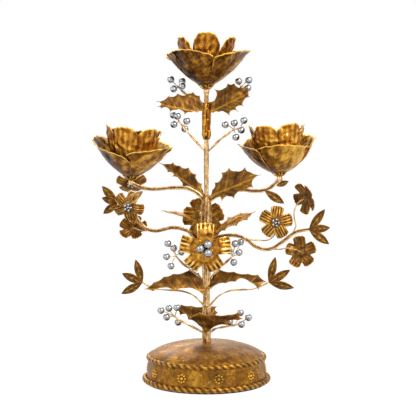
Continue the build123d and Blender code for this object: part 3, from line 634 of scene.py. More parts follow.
def wire_bundle(name, node, levels, count, wire, turns, tone, seed, material=WIRE_GILT, knots=()):
    """Upright wires round the rod."""
    level_heights, level_radii = zip(*levels)
    low, high = level_heights[0], level_heights[-1]
    heights = np.linspace(low, high, max(20, int((high - low) / 2.2)))
    outer = np.interp(heights, level_heights, level_radii)
    shape = Shape()
    for strand in range(count):
        first = 2 * math.pi * (strand + 0.3 * rng.random()) / count
        angle = first + turns * (heights - low) / 50 * 2 * math.pi
        reach = outer - wire + 0.25 * np.sin(heights / 9 + strand * 1.7)
        radius = wire * (1 + 0.08 * math.sin(strand * 3.1))
        shade = tone + 0.16 * math.sin(strand * 2.1)
        tube(shape, around_z(reach, angle, heights), radius, 9, shade, 0.09, seed + strand)
    for height, azimuth, radius in knots:
        reach = np.interp(height, level_heights, level_radii) - radius * 0.6
        ball(shape, around_z(reach, math.radians(azimuth), height), radius, 8, 12, tone + 0.15, 1.3)
    shape.make(name, material, "gilt_wire", (node,))


for name, bundle in BUNDLES.items():
    wire_bundle(name, **bundle)

ROD_BOTTOM = 35.7
ROD_TOP = 356.8
ROD_RADIUS = 2.75
THREAD_BOTTOM = 349.2
THREAD_RADIUS = 3.5

rod = Shape()
heights = np.linspace(ROD_BOTTOM, ROD_TOP, 140)
rod_radius = ROD_RADIUS + 0.35 * np.sin(heights / 11) * np.sin(heights / 4.3) * (heights > 52)
rod_radius = np.where(heights > THREAD_BOTTOM, THREAD_RADIUS, rod_radius)
tube(rod, around_z(0, 0, heights), rod_radius, 20, 0.62, 0.1, 41)
bare = (heights > 222) & (heights < 350)
for strand in range(2):
    path = around_z(1.9, strand * math.pi + heights / 42, heights)[bare]
    tube(rod, path, 1.25, 9, 0.7, 0.12, 43 + strand)
rod.make("stem_rod_wires", WIRE_GILT, "gilt_wire", ("stem_rod",))

# Cups: crumpled outer petals round a fluted inner cup. An outer petal is its start and spread in degrees, its
# radius at the rim, the rim's height at its start and end, and its layer. Belly is a point that the outer
# petals pass, valley is how deep the inner petals part, and drops how far each ends below the highest
CUPS = {
    "top": dict(
        foot=(0, 0, 357.0), lean=0.0, level=-0.16, belly=(25.0, 15.0),
        inner_rim=35.0, inner_height=66.0, inner_turn=-90.0, valley=18.0, drops=(0, 6, 9, 8, 9, 6),
        petals=[(188, 94, 39, 44, 41, 0), (-79, 99, 49, 40, 42, 1), (118, 76, 47, 40, 36, 1),
                (15, 110, 44, 40, 42, 0)],
    ),
    "left": dict(
        foot=(-90.3, 0, 248.2), lean=3.4, level=-0.05, belly=(22.5, 13.0),
        inner_rim=32.5, inner_height=63.0, inner_turn=-108.0, valley=9.5, drops=(0, 1, 5, 8, 6, 0),
        petals=[(176, 93, 44, 40, 24, 1), (-98, 103, 46, 33, 40, 0), (110, 80, 47, 42, 45, 0),
                (-8, 112, 46, 38, 42, 1)],
    ),
    "right": dict(
        foot=(87.5, 0, 253.0), lean=-3.6, level=0.0, belly=(23.5, 11.5),
        inner_rim=32.5, inner_height=62.0, inner_turn=-121.0, valley=8.0, drops=(1, 0, 4, 8, 6, 2),
        petals=[(-131, 126, 37, 37, 31, 0), (165, 70, 44, 38, 34, 1), (-12, 80, 42, 40, 42, 1),
                (62, 108, 40, 40, 40, 0)],
    ),
}
PETAL_FOOT = (5.0, 2.2)
LAYER_STEP = 1.3
CUP_SHEET = 0.8
INNER_PETALS = 6
INNER_FOOT = (13.8, 9.2)
LIP_START = 0.86


def cup_seat(cup):
    """A cup's own plane: its foot, leant about the front direction."""
    lean = math.radians(cup["lean"])
    across, along = (math.cos(lean), 0, -math.sin(lean)), (math.sin(lean), 0, math.cos(lean))
    return plane_matrix(cup["foot"], across, along)


def arc_through(a, b, c):
    """The centre and radius of the circle through three points in a plane."""
    (ax, ay), (bx, by), (cx, cy) = a, b, c
    d = 2 * (ax * (by - cy) + bx * (cy - ay) + cx * (ay - by))
    sa, sb, sc = ax * ax + ay * ay, bx * bx + by * by, cx * cx + cy * cy
    x = (sa * (by - cy) + sb * (cy - ay) + sc * (ay - by)) / d
    y = (sa * (cx - bx) + sb * (ax - cx) + sc * (bx - ax)) / d
    return x, y, math.hypot(ax - x, ay - y)


def outer_petal(shape, petal, belly, level, seed, rows=40, columns=84):
    """One crumpled outer petal with a rolled, uneven rim."""
    start, spread, flare, rim_start, rim_end, layer = petal
    shift = layer * LAYER_STEP
    foot = PETAL_FOOT[1] - shift
    highest = (flare + shift, max(rim_start, rim_end) + 2)
    x, z, radius = arc_through((PETAL_FOOT[0], foot), (belly[0] + shift, belly[1] + 0.4), highest)
    across = np.linspace(0, 1, columns)[None, :]
    up = np.linspace(0, 1, rows)[:, None]
    rim = rim_start + (rim_end - rim_start) * across
    rim = rim + 0.7 * np.sin(across * 9 + seed) + 0.3 * np.sin(across * 37 + seed * 2)
    rim = rim + 3.4 * (1 - (2 * across - 1) ** 2) - 2.4 * (np.abs(2 * across - 1) ** 10)
    heights = foot + (rim - foot) * up**1.15
    reach = x + np.sqrt(np.maximum(radius**2 - (heights - z) ** 2, 0))
    azimuth = np.radians(start + spread * across)
    smooth = around_z(reach, azimuth, heights)
    crumple = ripple(smooth, 13.0, seed) * 0.55 + ripple(smooth, 5.5, seed + 5) * 0.3
    turn = np.radians(spread)
    pleats = np.sin(across * turn * 15 + 1.2 * np.sin(up * 4 + seed)) * 0.4
    roll = 2.6 * rising(up, LIP_START, 0.14) ** 2
    out = (crumple * (0.25 + up) + pleats * up**1.5) * (up > 0.03) + roll
    points = around_z(reach + out, azimuth, heights - roll * 0.35)
    side_edge = np.minimum(across, 1 - across) * turn * 30
    front = np.sin(azimuth) < 0.3
    # Tone: painted highlight on crumple and pleat ridges and painted shade in their hollows, a painted
    # highlight along the rim and the side edges, and on the front a painted light-to-shade turn by azimuth,
    # lighter on the right and darker on the left; the long ripple is uneven tone
    tones = 0.46 + level + 0.26 * crumple + 0.3 * pleats * up + 0.1 * ripple(points, 30.0, seed + 9)
    tones += 0.75 * rising(up, 0.965, 0.03) + 0.35 * np.clip(1 - side_edge, 0, 1) * up
    tones += np.where(front, 0.24 * np.cos(azimuth + 0.6), 0.2)
    shape.add(points, grid_faces(rows, columns), tones)


def calyx(shape, count=11):
    """Small ragged bracts that hug the foot of a cup."""
    up = np.linspace(0, 1, 9)[:, None]
    across = np.linspace(-1, 1, 5)[None, :]
    for number in range(count):
        length = 6.5 + 2.5 * ((number * 0.43) % 1)
        reach = 4.2 + length * 0.8 * up
        azimuth = 2 * math.pi * (number + 0.25 * math.sin(number * 4)) / count
        azimuth = azimuth + across * 1.35 * (1 - up**1.6) / (reach + 0.5)
        points = around_z(reach, azimuth, -2.4 + length * 0.75 * up**1.3)
        shape.add(points, grid_faces(9, 5), 0.35 + 0.45 * up + 0.15 * np.abs(across))


def inner_cup(shape, cup, seed, rows=56, per_petal=60):
    """The fluted inner cup: rounded, ragged petals that open outwards, and the floor they rise from."""
    columns = INNER_PETALS * per_petal
    foot_radius, low = INNER_FOOT
    rim, crest = cup["inner_rim"], cup["inner_height"]
    x, z, radius = arc_through(INNER_FOOT, (rim * 0.74 + 0.4, crest * 0.42), (rim, crest))
    across = np.linspace(0, INNER_PETALS, columns, endpoint=False)[None, :]
    within = 2 * (across % 1) - 1
    number = np.floor(across)
    azimuth = np.radians(cup["inner_turn"] + 360 / INNER_PETALS * (across - 0.5))
    arch = 1 - np.abs(within) ** 3.2
    top = crest - cup["valley"] * (1 - arch)
    top = top + (0.9 * np.abs(np.sin(within * 9 + number)) - 0.8) * (0.35 + 0.65 * arch)
    top = top - np.array(cup["drops"])[number.astype(int)]
    up = np.linspace(0, 1, rows)[:, None]
    heights = low + (top - low) * up
    share = (heights - low) / (crest - low)
    reach = x + np.sqrt(np.maximum(radius**2 - (heights - z) ** 2, 0))
    flutes = np.sin(within * 14.5 + 0.9 * np.sin(up * 4 + number * 2)) * rising(heights, low, 22)
    dents = ripple(around_z(reach, azimuth, heights), 8.0, seed)
    fold = -2.2 * np.abs(within) ** 6 * share**2
    lip = 1.6 * rising(up, LIP_START, 0.14) ** 2 * arch
    reach = reach + 0.32 * flutes + 0.6 * dents + fold + lip - 0.9 * share
    points = around_z(reach, azimuth, heights)
    # Tone: flute ridges a little lighter, a painted light-to-shade turn round the cup, lighter at the front
    # and darker at the back, a painted highlight band round the belly and along the rim, and painted shade
    # low down and where the petals part; the ripple is uneven tone
    tones = 0.4 + 0.7 * cup["level"] + 0.09 * flutes + 0.15 * ripple(points, 9.0, seed + 4)
    tones += 0.18 * np.cos(azimuth + 1.25) + 0.3 * np.exp(-(((share - 0.45) / 0.2) ** 2))
    tones += 0.35 * rising(up, 0.95, 0.04) - 0.3 * (1 - rising(heights, low, 14))
    tones -= 0.35 * np.abs(within) ** 10
    shape.add(points, grid_faces(rows, columns, around=True), tones)
    # The floor deep in the cup is painted dark as painted shade
    floor_rings = [around_z(r, full_turn(columns), low - 0.6) for r in (2.0, 8.0, foot_radius + 0.1)]
    shape.add(np.array(floor_rings), grid_faces(3, columns, around=True), 0.2)


BOSS = [(2.0, 0.0), (4.6, 0.1), (6.6, 1.4), (7.6, 4.0), (7.4, 7.8), (2.0, 8.0)]
for index, (name, cup) in enumerate(CUPS.items()):
    seat = cup_seat(cup)
    outer = Shape()
    for number, petal in enumerate(cup["petals"]):
        outer_petal(outer, petal, cup["belly"], cup["level"], 3 + 4 * index + number)
    turned(outer, ring_profile(BOSS), 40, 0.1, 9, 0.45, index)
    calyx(outer)
    replaced = (f"cup_{name}_outer_petals",)
    outer.make(f"cup_{name}_outer", CUP_GILT, "gilt_cup", replaced, thickness=CUP_SHEET, seat=seat)
    inner = Shape()
    inner_cup(inner, cup, index + 1)
    replaced = (f"cup_{name}_inner_petals",)
    inner.make(f"cup_{name}_inner", INNER_GILT, "gilt_cup", replaced, thickness=CUP_SHEET, seat=seat)

# Arms: pairs of wires, side by side, from the stem to each cup
ARM_ROUTES = {
    "left": [(0, 0, 214), (-7.5, 0, 227), (-22, 0, 235.5), (-40, 0, 236.5), (-58, 0, 235), (-73, 0, 235.4),
             (-84, 0, 239.5), (-90.6, 0, 243.5)],
    "right": [(0, 0, 214), (8, 0, 224), (24, 0, 230.5), (42, 0, 234), (58, 0, 232.4), (72, 0, 234.2),
              (82, 0, 241), (87.2, 0, 248)],
}
FERRULE = [(1.7, -8.6), (3.2, -8.2), (3.5, -6.5), (3.1, -3.2), (3.6, -0.4), (1.7, 0.1)]
for name, route in ARM_ROUTES.items():
    shape = Shape()
    path = smooth_path(route, 10)
    wire_pair(shape, path, 1.3, 1.05, 0.0, 0.74, 10, math.pi / 2, 0.8, seed=4)
    wire_pair(shape, path, 0.9, 0.8, 0.0, 0.12, 8, 0.0, 0.8, seed=9)
    ferrule = Shape()
    turned(ferrule, ring_profile(FERRULE), 28, 0.1, 6, 0.6, 3)
    shape.add(moved(ferrule.points[0], cup_seat(CUPS[name])), ferrule.faces, ferrule.tones[0])
    shape.make(f"arm_{name}_wires", WIRE_GILT, "gilt_wire", (f"arm_{name}",))

# Branches and twigs: the main wires' route, then the routes of the thinner wires
BRANCHES = {
    "branch_left": (
        [(0, 3, 169), (-11.3, 2, 175.7), (-17, 1, 181.2), (-28.1, 0, 186.4), (-41.4, -1, 188.4),
         (-60.6, -2, 184.6), (-72.6, -2, 187.8), (-81, -2, 196.3), (-85.7, -3, 204.8), (-93.2, -6, 214.2)],
        [
            [(-66, -2, 185.6), (-77, 1, 184.5), (-88.6, 6, 187.5)],
            [(-90.5, -4.6, 210.5), (-99, -1, 215.5), (-107, 1, 218)],
        ],
    ),
    "branch_right": (
        [(0, 3, 165), (7.9, 3, 174), (23, 2, 178.4), (38, 1, 178), (48.8, 0, 173.3), (58.4, -1, 166),
         (70, -1, 162), (81, -1, 164.2), (95.7, -1, 174.5), (108, -1, 183.2), (123.5, -1, 186.2)],
        [
            [(47, 0.2, 174.5), (60, 2, 172.9), (73, 3, 172.7), (81, 3, 178), (84, 1, 187), (83, -4, 195.1)],
            [(103, -1, 180.5), (107.4, -1, 190.2), (105.3, -1, 201), (106, 0, 211), (111, 0.5, 219),
             (117.6, 1, 223)],
            [(76, -1, 162.6), (88, -1, 162.2), (99, -1, 163.6), (107.8, 0, 161.5), (113.8, 1, 158.7)],
        ],
    ),
    "twig_left": (
        [(0, 1, 89), (-5.6, 2, 96.2), (-16.3, 3, 105.6), (-30, 3, 110.8), (-47, 3, 112), (-62, 3, 113.6),
         (-77.5, 3, 121)],
        [],
    ),
    "twig_right": (
        [(0, 1, 87), (5.2, 2, 94.5), (14.9, 3, 104.8), (27, 3, 110.8), (41, 3, 112.4), (57, 3, 113.4),
         (75.5, 3, 121.2)],
        [],
    ),
}
for name, (main, wires) in BRANCHES.items():
    shape = Shape()
    path = smooth_path(main, 10)
    if name.startswith("branch"):
        wire_pair(shape, path, 1.3, 1.0, 0.12, 0.6, 9, 1.4, 0.7, seed=13)
        wire_pair(shape, path, 0.9, 0.9, 0.12, 0.2, 8, 0.0, 0.7, seed=15)
    else:
        wire_pair(shape, path, 0.6, 0.72, 1.2, 0.62, 8, 0.4, 0.8, seed=17)
    for number, wire in enumerate(wires):
        tube(shape, smooth_path(wire, 8), 0.85, 8, 0.6, 0.08, 23 + number)
    shape.make(f"{name}_wires", WIRE_GILT, "gilt_wire", (name,))


def wire_end(name, thin=None):
    """Where a branch ends, or one of its thinner wires."""
    main, wires = BRANCHES[name]
    return main[-1] if thin is None else wires[thin][-1]


# Holly leaves: root, outline corners across and up from it, how far back the left end, the middle and the
# right end stand, lean in degrees, and where the midrib ends
HOLLY = {
    "upper_left": (
        (0, -2, 325.3),
        [(-5, 3), (-11, 1.5), (-18, 2), (-26, -1), (-29, 4), (-36, 5), (-44, 1), (-45, 7), (-53, 7),
         (-58, 9), (-53, 12), (-59, 15), (-45, 21), (-34, 24), (-21, 24), (-16, 26), (-8, 21), (-2, 12)],
        (-16, -9, 0), 18, (-57, 12),
    ),
    "upper_right": (
        (0, -2, 325.3),
        [(8, 1), (15, 2), (22, 2), (28, -4), (29, 4), (38, 3), (35, 8), (44, 9), (44, 15), (52, 20),
         (50, 24), (53, 29), (45, 31), (33, 36), (25, 36), (21, 30), (9, 30), (11, 18), (3, 14)],
        (0, -6, -10), 12, (51, 25),
    ),
    "middle_left": (
        (0, 0, 225.0),
        [(-6, 2), (-14, 8), (-29, 12), (-31, 19), (-42, 24), (-39, 27), (-47, 29), (-49, 34), (-57, 40),
         (-46, 39), (-40, 41), (-32, 37), (-21, 35), (-12, 27), (-11, 20), (-5, 16), (-4, 8)],
        (10, 3.5, 0), 8, (-55, 39),
    ),
    "middle_right": (
        (0, -2, 225.0),
        [(6, -2), (12, 2), (17, 1), (18, -6), (22, 1), (27, 2), (34, -2), (36, 6), (46, 9), (56, 13),
         (56, 23), (66, 28), (52, 31), (46, 37), (35, 32), (27, 36), (18, 30), (17, 22), (10, 18), (7, 9)],
        (-1, -11, -14), 10, (64, 27),
    ),
    "lower_left": (
        (0, -1, 113.4),
        [(-5, -5), (-13, 1), (-25, 3), (-39, 0), (-43, 3), (-52, 4), (-64, 0), (-75, 2), (-63, 10),
         (-51, 16), (-40, 19), (-25, 21), (-21, 23), (-9, 19), (-4, 10)],
        (-12, -12, -2), 34, (-73, 2.5),
    ),
    "lower_right": (
        (0, -1, 114.8),
        [(6, 0), (12, 5), (23, 7), (35, 9), (41, 13), (52, 9), (63, 0), (65, 6), (72, 9), (62, 17),
         (50, 18), (33, 20), (16, 22), (9, 17), (4, 9)],
        (-2, -12, -12), 34, (70, 9),
    ),
    "bottom_front": (
        (0, -1.5, 61.5),
        [(4, 2), (12, 9), (25, 10), (26, 15), (38, 16), (46, 17), (39, 21), (40, 27), (26, 23),
         (10, 23), (-8, 26), (-16, 22), (-21, 17), (-9, 9), (-3, 2)],
        (-2, -5, -4), -16, (43, 20),
    ),
    "bottom_left": (
        (0, 2, 62.8),
        [(-4, 3), (-13, 10), (-22, 12), (-25, 19), (-32, 17), (-35, 24), (-31, 30), (-18, 29),
         (-5, 28), (-1, 18)],
        (8, 3, 0), 6, (-33, 25),
    ),
    "bottom_right": (
        (0, 2, 76.0),
        [(8, 1), (14, 7), (10, 11), (14, 15), (6, 15), (2, 11)],
        (0, 2, 6), 20, (13, 13),
    ),
}
SPINE_HOLLOW = 0.2
LONG_HOLLOW = 0.09
SPINE_SHARE = 0.62
LEAF_MESH_STEP = 1.15
LEAF_SHEET = 0.8


def corner_angle(here, one, other):
    """The angle between two stretches that meet at a corner."""
    a, b = one - here, other - here
    return math.acos(np.clip(a.dot(b) / (np.linalg.norm(a) * np.linalg.norm(b)), -1, 1))


def hollow_outline(corners, most=SPINE_HOLLOW, steps=6):
    """A closed outline of hollow arcs from spine to spine."""
    corners = np.asarray(corners, float)
    after = np.roll(corners, -1, axis=0)
    before = np.roll(corners, 1, axis=0)
    turning = np.sum(corners[:, 0] * after[:, 1] - after[:, 0] * corners[:, 1])
    inwards = 1 if turning > 0 else -1
    sharp = [corner_angle(*three) for three in zip(corners, before, after)]
    outline = []
    for index, (here, there) in enumerate(zip(corners, after)):
        sharpest = min(sharp[index], sharp[(index + 1) % len(corners)])
        hollow = min(most, 0.5 * math.tan(sharpest * SPINE_SHARE / 2))
        along = there - here
        normal = np.array([-along[1], along[0]]) * inwards
        for t in np.linspace(0, 1, steps, endpoint=False):
            outline.append(here + along * t + normal * 4 * hollow * t * (1 - t))
    return np.array(outline)


def inside(points, outline):
    """Which points lie inside a closed outline."""
    result = np.zeros(len(points), bool)
    for (ax, ay), (bx, by) in zip(outline, np.roll(outline, -1, axis=0)):
        crosses = (ay > points[:, 1]) != (by > points[:, 1])
        with np.errstate(divide="ignore", invalid="ignore"):
            x = (bx - ax) * (points[:, 1] - ay) / (by - ay) + ax
        result ^= crosses & (points[:, 0] < x)
    return result


def from_segment(points, a, b):
    """How far points lie from a straight stretch, and how far along it they are."""
    along = b - a
    t = np.clip(((points - a) @ along) / max(along @ along, 1e-6), 0, 1)
    return np.linalg.norm(points - a - t[:, None] * along, axis=1), t


def from_outline(points, outline):
    """How far points lie from a closed outline."""
    nearest = np.full(len(points), 1e9)
    for a, b in zip(outline, np.roll(outline, -1, axis=0)):
        nearest = np.minimum(nearest, from_segment(points, a, b)[0])
    return nearest


def filled(outline, step=LEAF_MESH_STEP):
    """A fine mesh inside a closed outline: flat points and faces."""
    low, high = outline.min(0), outline.max(0)
    xs, ys = np.arange(low[0], high[0], step), np.arange(low[1], high[1], step * 0.87)
    grid = np.array([(x + (row % 2) * step / 2, y) for row, y in enumerate(ys) for x in xs])
    grid = grid[inside(grid, outline)]
    grid = grid[from_outline(grid, outline) > step * 0.45]
    points = [Vector(point) for point in np.vstack([outline, grid])]
    made = delaunay_2d_cdt(points, [], [list(range(len(outline)))], 1, 1e-5)
    return np.array([tuple(point) for point in made[0]]), [tuple(face) for face in made[2]]


def veins(points, root, tip, spines):
    """Raised veins, from 0 to 1: a midrib from root to tip with a side vein towards each spine."""
    root, tip = np.array(root, float), np.array(tip, float)
    length = np.linalg.norm(tip - root)
    distance, t = from_segment(points, root, tip)
    height = np.exp(-((distance / (1.25 - 0.6 * t)) ** 2))
    for spine in spines:
        spine = np.array(spine, float)
        share = (spine - root) @ (tip - root) / length**2
        start = root + (tip - root) * min(max(share - 0.2, 0.03), 0.9)
        distance, t = from_segment(points, start, start + (spine - start) * 0.93)
        height = np.maximum(height, 0.62 * np.exp(-((distance / (0.85 - 0.3 * t)) ** 2)) * (1 - 0.4 * t))
    return height


def leaf_relief(flat, outline, tip, spines, seed):
    """How far a leaf's surface rises towards the viewer, and its tone."""
    raised = veins(flat, (0, 0), tip, spines)
    level = np.column_stack([flat, np.full(len(flat), 9.0 * seed)])
    edge = from_outline(flat, outline)
    quilt = ripple(level, 9.0, seed) * 0.5 + ripple(level, 20.0, seed + 2) * 0.8
    rise = 0.75 * raised + quilt * np.clip(edge / 3, 0.3, 1) - 0.5 * np.clip(1 - edge / 2.0, 0, 1)
    # Tone: painted highlight on the raised veins and along the edges, and the quilting lighter on its swells
    # and darker in its dips as painted highlight and shade
    tone = 0.38 + 0.5 * raised + 0.16 * quilt + 0.3 * np.clip(1 - edge / 0.9, 0, 1)
    return rise, tone


def holly_leaf(name, root, spines, depths, lean, tip, seed):
    """A leaf seen from the front, from its outline there and how far back each part stands."""
    most = SPINE_HOLLOW if name.startswith(("upper", "middle")) else LONG_HOLLOW
    outline = hollow_outline([(0, 0)] + spines, most)
    flat, faces = filled(outline)
    x, z = flat.T
    spine_xs = [point[0] for point in spines] + [0]
    low, high = min(spine_xs) - 2, max(spine_xs) + 2
    bow = np.polyfit((low, (low + high) / 2, high), depths, 2)
    tilt = math.radians(lean)
    rise, tone = leaf_relief(flat, outline, tip, spines, seed)
    depth = np.polyval(bow, x) / math.cos(tilt) + z * math.tan(tilt) + 0.45
    points = np.column_stack([root[0] + x, root[1] + depth - rise, root[2] + z])
    leaf = Shape().add(points, faces, tone)
    leaf.make(f"holly_{name}_leaf", LEAF_GILT, "gilt_leaf", (f"holly_{name}",), thickness=LEAF_SHEET)


for index, (name, leaf) in enumerate(HOLLY.items()):
    holly_leaf(name, *leaf, seed=index + 1)

# The two leaves behind: root, tip and the direction that the upper face looks in
BACK_HOLLY = {
    "back_left": ((-2, 3, 190.0), (-55, 26, 205.4), (0.25, -0.1, 1)),
    "back_right": ((2, 3, 176.0), (60, 22, 204.8), (-0.35, -0.55, 1)),
}
BACK_SPINES = [(0.16, 0.04), (0.3, 0.13), (0.42, 0.1), (0.52, 0.2), (0.64, 0.12), (0.76, 0.17), (0.85, 0.07)]
BACK_FOOT = 0.03
BACK_TONE = 0.3


def back_leaf(name, root, tip, face, seed):
    """A leaf with even spines on both sides, bowed from root to tip."""
    length = (Vector(tip) - Vector(root)).length
    upper = [(length * a, length * b) for a, b in BACK_SPINES]
    lower = [(a, -b) for a, b in reversed(upper)]
    foot = length * BACK_FOOT
    outline = hollow_outline([(0, foot)] + upper + [(length, 0)] + lower + [(0, -foot)])
    flat, faces = filled(outline)
    rise, tone = leaf_relief(flat, outline, (length, 0), upper + lower, seed)
    bow = np.polyfit((-2, length / 2, length + 2), (0, 5, 0), 2)
    points = np.column_stack([flat, np.polyval(bow, flat[:, 0]) - 0.45 + rise])
    leaf = Shape().add(points, faces, tone + BACK_TONE)
    replaced = (f"holly_{name}",)
    seat = leaf_matrix(root, tip, face)
    leaf.make(f"holly_{name}_leaf", LEAF_GILT, "gilt_leaf", replaced, thickness=LEAF_SHEET, seat=seat)


for index, (name, leaf) in enumerate(BACK_HOLLY.items()):
    back_leaf(name, *leaf, seed=index + 21)

# Smooth leaflets at the ends of branches and twigs: their foot and their tips
LEAFLETS = {
    "leaflets_branch_left": [
        (wire_end("branch_left", 1), [(-125.3, 3, 238.2), (-125.6, 1, 224.3), (-123.8, -1, 205.2)]),
    ],
    "leaflets_branch_right": [
        (wire_end("branch_right"), [(142.4, 1, 210.4), (148.6, -2, 188.4), (147.6, -2, 168.3)]),
    ],
    "leaflets_twigs": [
        (wire_end("twig_left"), [(-85.6, 6, 148.8), (-102, 4, 132.2), (-102.7, 1, 107.6)]),
        (wire_end("twig_right"), [(83.3, 6, 152), (101, 4, 136.4), (105.8, 1, 114.8)]),
    ],
    "leaflets_arm_right": [((84, -1, 238.8), [(98.4, -3, 244.6)]), ((70, -1, 233), [(93.2, -4, 217.8)])],
}
LEAFLET_WIDTH = 9.5
LEAFLET_SHARE = 0.42
LEAFLET_SHEET = 0.6


def leaflet(shape, foot, tip, seed, rows=40, columns=17):
    """A small pointed leaf with a creased midrib, lightly veined."""
    length = (Vector(tip) - Vector(foot)).length
    width = min(LEAFLET_WIDTH, LEAFLET_SHARE * length)
    along = np.linspace(0, 1, rows)[:, None]
    across = np.linspace(-1, 1, columns)[None, :]
    middle = 1 - np.abs(across)
    half = width / 2 * np.sin(math.pi * along**1.15) ** 0.8 * (1 - 0.25 * along) * 1.18 + 0.25 * (1 - along)
    crease = -0.9 * middle**1.5 * np.sin(math.pi * along) ** 0.6
    bow = 1.6 * 4 * along * (1 - along)
    ribs = 0.22 * np.sin(along * 26 + np.abs(across) * 6) * middle * np.sin(math.pi * along)
    x, y, z = np.broadcast_arrays(length * along, half * across, bow + crease - ribs - 0.4)
    tone = 0.36 + 0.5 * np.exp(-(across / 0.14) ** 2) + 0.25 * np.abs(across) ** 6 + 1.2 * ribs
    tone = tone + 0.12 * ripple(np.stack([x, y, z + seed * 9], -1), 10, seed)
    points = moved(np.stack([x, y, z], axis=-1), leaf_matrix(foot, tip))
    shape.add(points, grid_faces(rows, columns), tone)


for index, (name, groups) in enumerate(LEAFLETS.items()):
    shape = Shape()
    spots = [(foot, tip) for foot, tips in groups for tip in tips]
    for number, (foot, tip) in enumerate(spots):
        leaflet(shape, foot, tip, index * 6 + number)
    shape.make(f"{name}_sheet", LEAF_GILT, "gilt_leaf", (name,), thickness=LEAFLET_SHEET)

# Flowers: five fluted petals each. A look is how many flutes, how deep, where they start, the tone, the
# contrast of the painted highlights and shade on the flutes, and the petals' half width
PETAL_COUNT = 5
FLOWER_SHEET = 0.7
PLAIN_LOOK = (4.5, 0.6, 0.22, 0.46, 0.24, 0.36)
FLOWERS = {
    "centre_flower": dict(
        centre=(-1.1, -11, 165.4), towards=(0, -1, 0), radius=31, cup=5, curl=6, turns=[90, 8, 298, 230, 169],
        look=(4.0, 1.1, 0.54, 0.5, 0.36, 0.34),
    ),
    "back_flower": dict(
        centre=(-4, 15, 197), towards=(0.25, 0.95, 0.1), radius=27, cup=4, curl=5, turn=8,
        # The back flower's tone is raised to 0.72 as painted light that lifts the shade on the backs of its
        # petals
        look=(3.5, 0.6, 0.3, 0.72, 0.16, 0.43),
    ),
    "flower_left_1": dict(centre=(-90.4, 11, 242), towards=(0, -0.78, -0.62), radius=18.5, turn=18),
    "flower_left_2": dict(centre=(-93.4, -6.5, 214.7), towards=(-0.2, -0.95, -0.25), radius=19.5, turn=-12),
    "flower_left_3": dict(
        centre=wire_end("branch_left", 0), towards=(0.1, 0.8, -0.6), radius=17.5, turn=27,
        look=(4.0, 0.5, 0.25, 0.5, 0.16, 0.38),
    ),
    "flower_right_1": dict(
        centre=(83, -4.5, 195.1), towards=(0, -1, 0.05), radius=20.5, cup=2.5, turn=10,
        look=(4.5, 0.6, 0.2, 0.5, 0.32, 0.37),
    ),
    "flower_right_2": dict(centre=wire_end("branch_right", 1), towards=(0.75, 0.6, 0.25), radius=20, turn=64),
    "flower_right_3": dict(
        centre=wire_end("branch_right", 2), towards=(0.15, 0.95, -0.2), radius=19.5, turn=12,
        look=(3.5, 0.4, 0.25, 0.44, 0.12, 0.38),
    ),
}


def flower(shape, data, seed, rows=44, columns=41):
    """Corrugated petals, each with its own lift and turn, round a domed heart, facing +Z."""
    flutes, depth, starts, level, contrast, width = data.get("look", PLAIN_LOOK)
    radius, cup = data["radius"], data.get("cup", 2)
    rise = np.polyfit((0, 0.6 * radius, radius), (0, cup, cup - data.get("curl", 4)), 2)
    corner_cut = 0.06 if starts > 0.4 else 0.13
    along = np.linspace(0.05, 1, rows)[:, None]
    across = np.linspace(-1, 1, columns)[None, :]
    swell = np.sin(np.clip(along / 0.45, 0, 1) * math.pi / 2)
    half = radius * (0.13 + (width - 0.16) * swell + 0.03 * along**2)
    end = 1 - corner_cut * np.abs(across) ** 3 + 0.014 * np.cos(across * math.pi * flutes)
    strength = rising(along, starts, 0.3)
    for number in range(PETAL_COUNT):
        if "turns" in data:
            facing = math.radians(data["turns"][number])
        else:
            facing = math.radians(data["turn"] + number * 360 / PETAL_COUNT + 3 * math.sin(seed + number * 2))
        size = 1 - 0.05 * ((number * 0.61 + seed * 0.3) % 1)
        x = radius * along * size * (1 + (end - 1) * along**3)
        y = half * across
        wobble = 0.5 * np.sin(3 * along + 2 * across + seed + number * 2.3)
        wave = np.cos(across * math.pi * flutes + wobble)
        wave = wave * (0.8 + 0.3 * np.sin(seed + number + 5 * across + 3 * along)) * strength
        z = np.polyval(rise, np.minimum(np.hypot(x, y), radius)) + depth * wave + 0.02 * number
        z = z + 0.7 * np.sin(seed + number * 1.7) * along**2 - 0.6 * np.abs(across) ** 3 * along
        cos, sin = math.cos(facing), math.sin(facing)
        points = np.stack([x * cos - y * sin, x * sin + y * cos, z], axis=-1)
        points[..., 2] += 0.25 * ripple(points, 7.0, seed + number)
        # Tone: painted highlights on the flute crests and painted shade in their troughs, a band of painted
        # shade where the flutes begin, and a painted highlight along the petal's end; the ripple is uneven
        # tone
        tone = level + contrast * wave - 0.24 * np.exp(-(((along - starts) / 0.06) ** 2))
        tone = tone + 0.14 * ripple(points, 8.0, seed + number + 3) + 0.3 * rising(along, 0.96, 0.03)
        shape.add(points, grid_faces(rows, columns), tone)
    radii = [0.24 * radius * share for share in (0.02, 0.4, 0.75, 1.0)]
    heart = np.array([around_z(r, full_turn(40), np.polyval(rise, r) + 0.35) for r in radii])
    shape.add(heart, grid_faces(4, 40, around=True), 0.4)


def flower_seat(data):
    return facing_matrix(data["centre"], data["towards"])


for index, (name, data) in enumerate(FLOWERS.items()):
    shape = Shape()
    flower(shape, data, index + 2)
    gilding = FLOWER_GILT if name == "centre_flower" else BROWN_GILT
    seat = flower_seat(data)
    shape.make(f"{name}_petals", gilding, "gilt_flower", (name,), thickness=FLOWER_SHEET, seat=seat)

bract = Shape()
leaflet(bract, (-99.8, -10.5, 216.5), (-75.5, -11.5, 233.5), 40)
bract.make("flower_left_2_bract", WIRE_GILT, "gilt_flower", (), thickness=LEAFLET_SHEET)

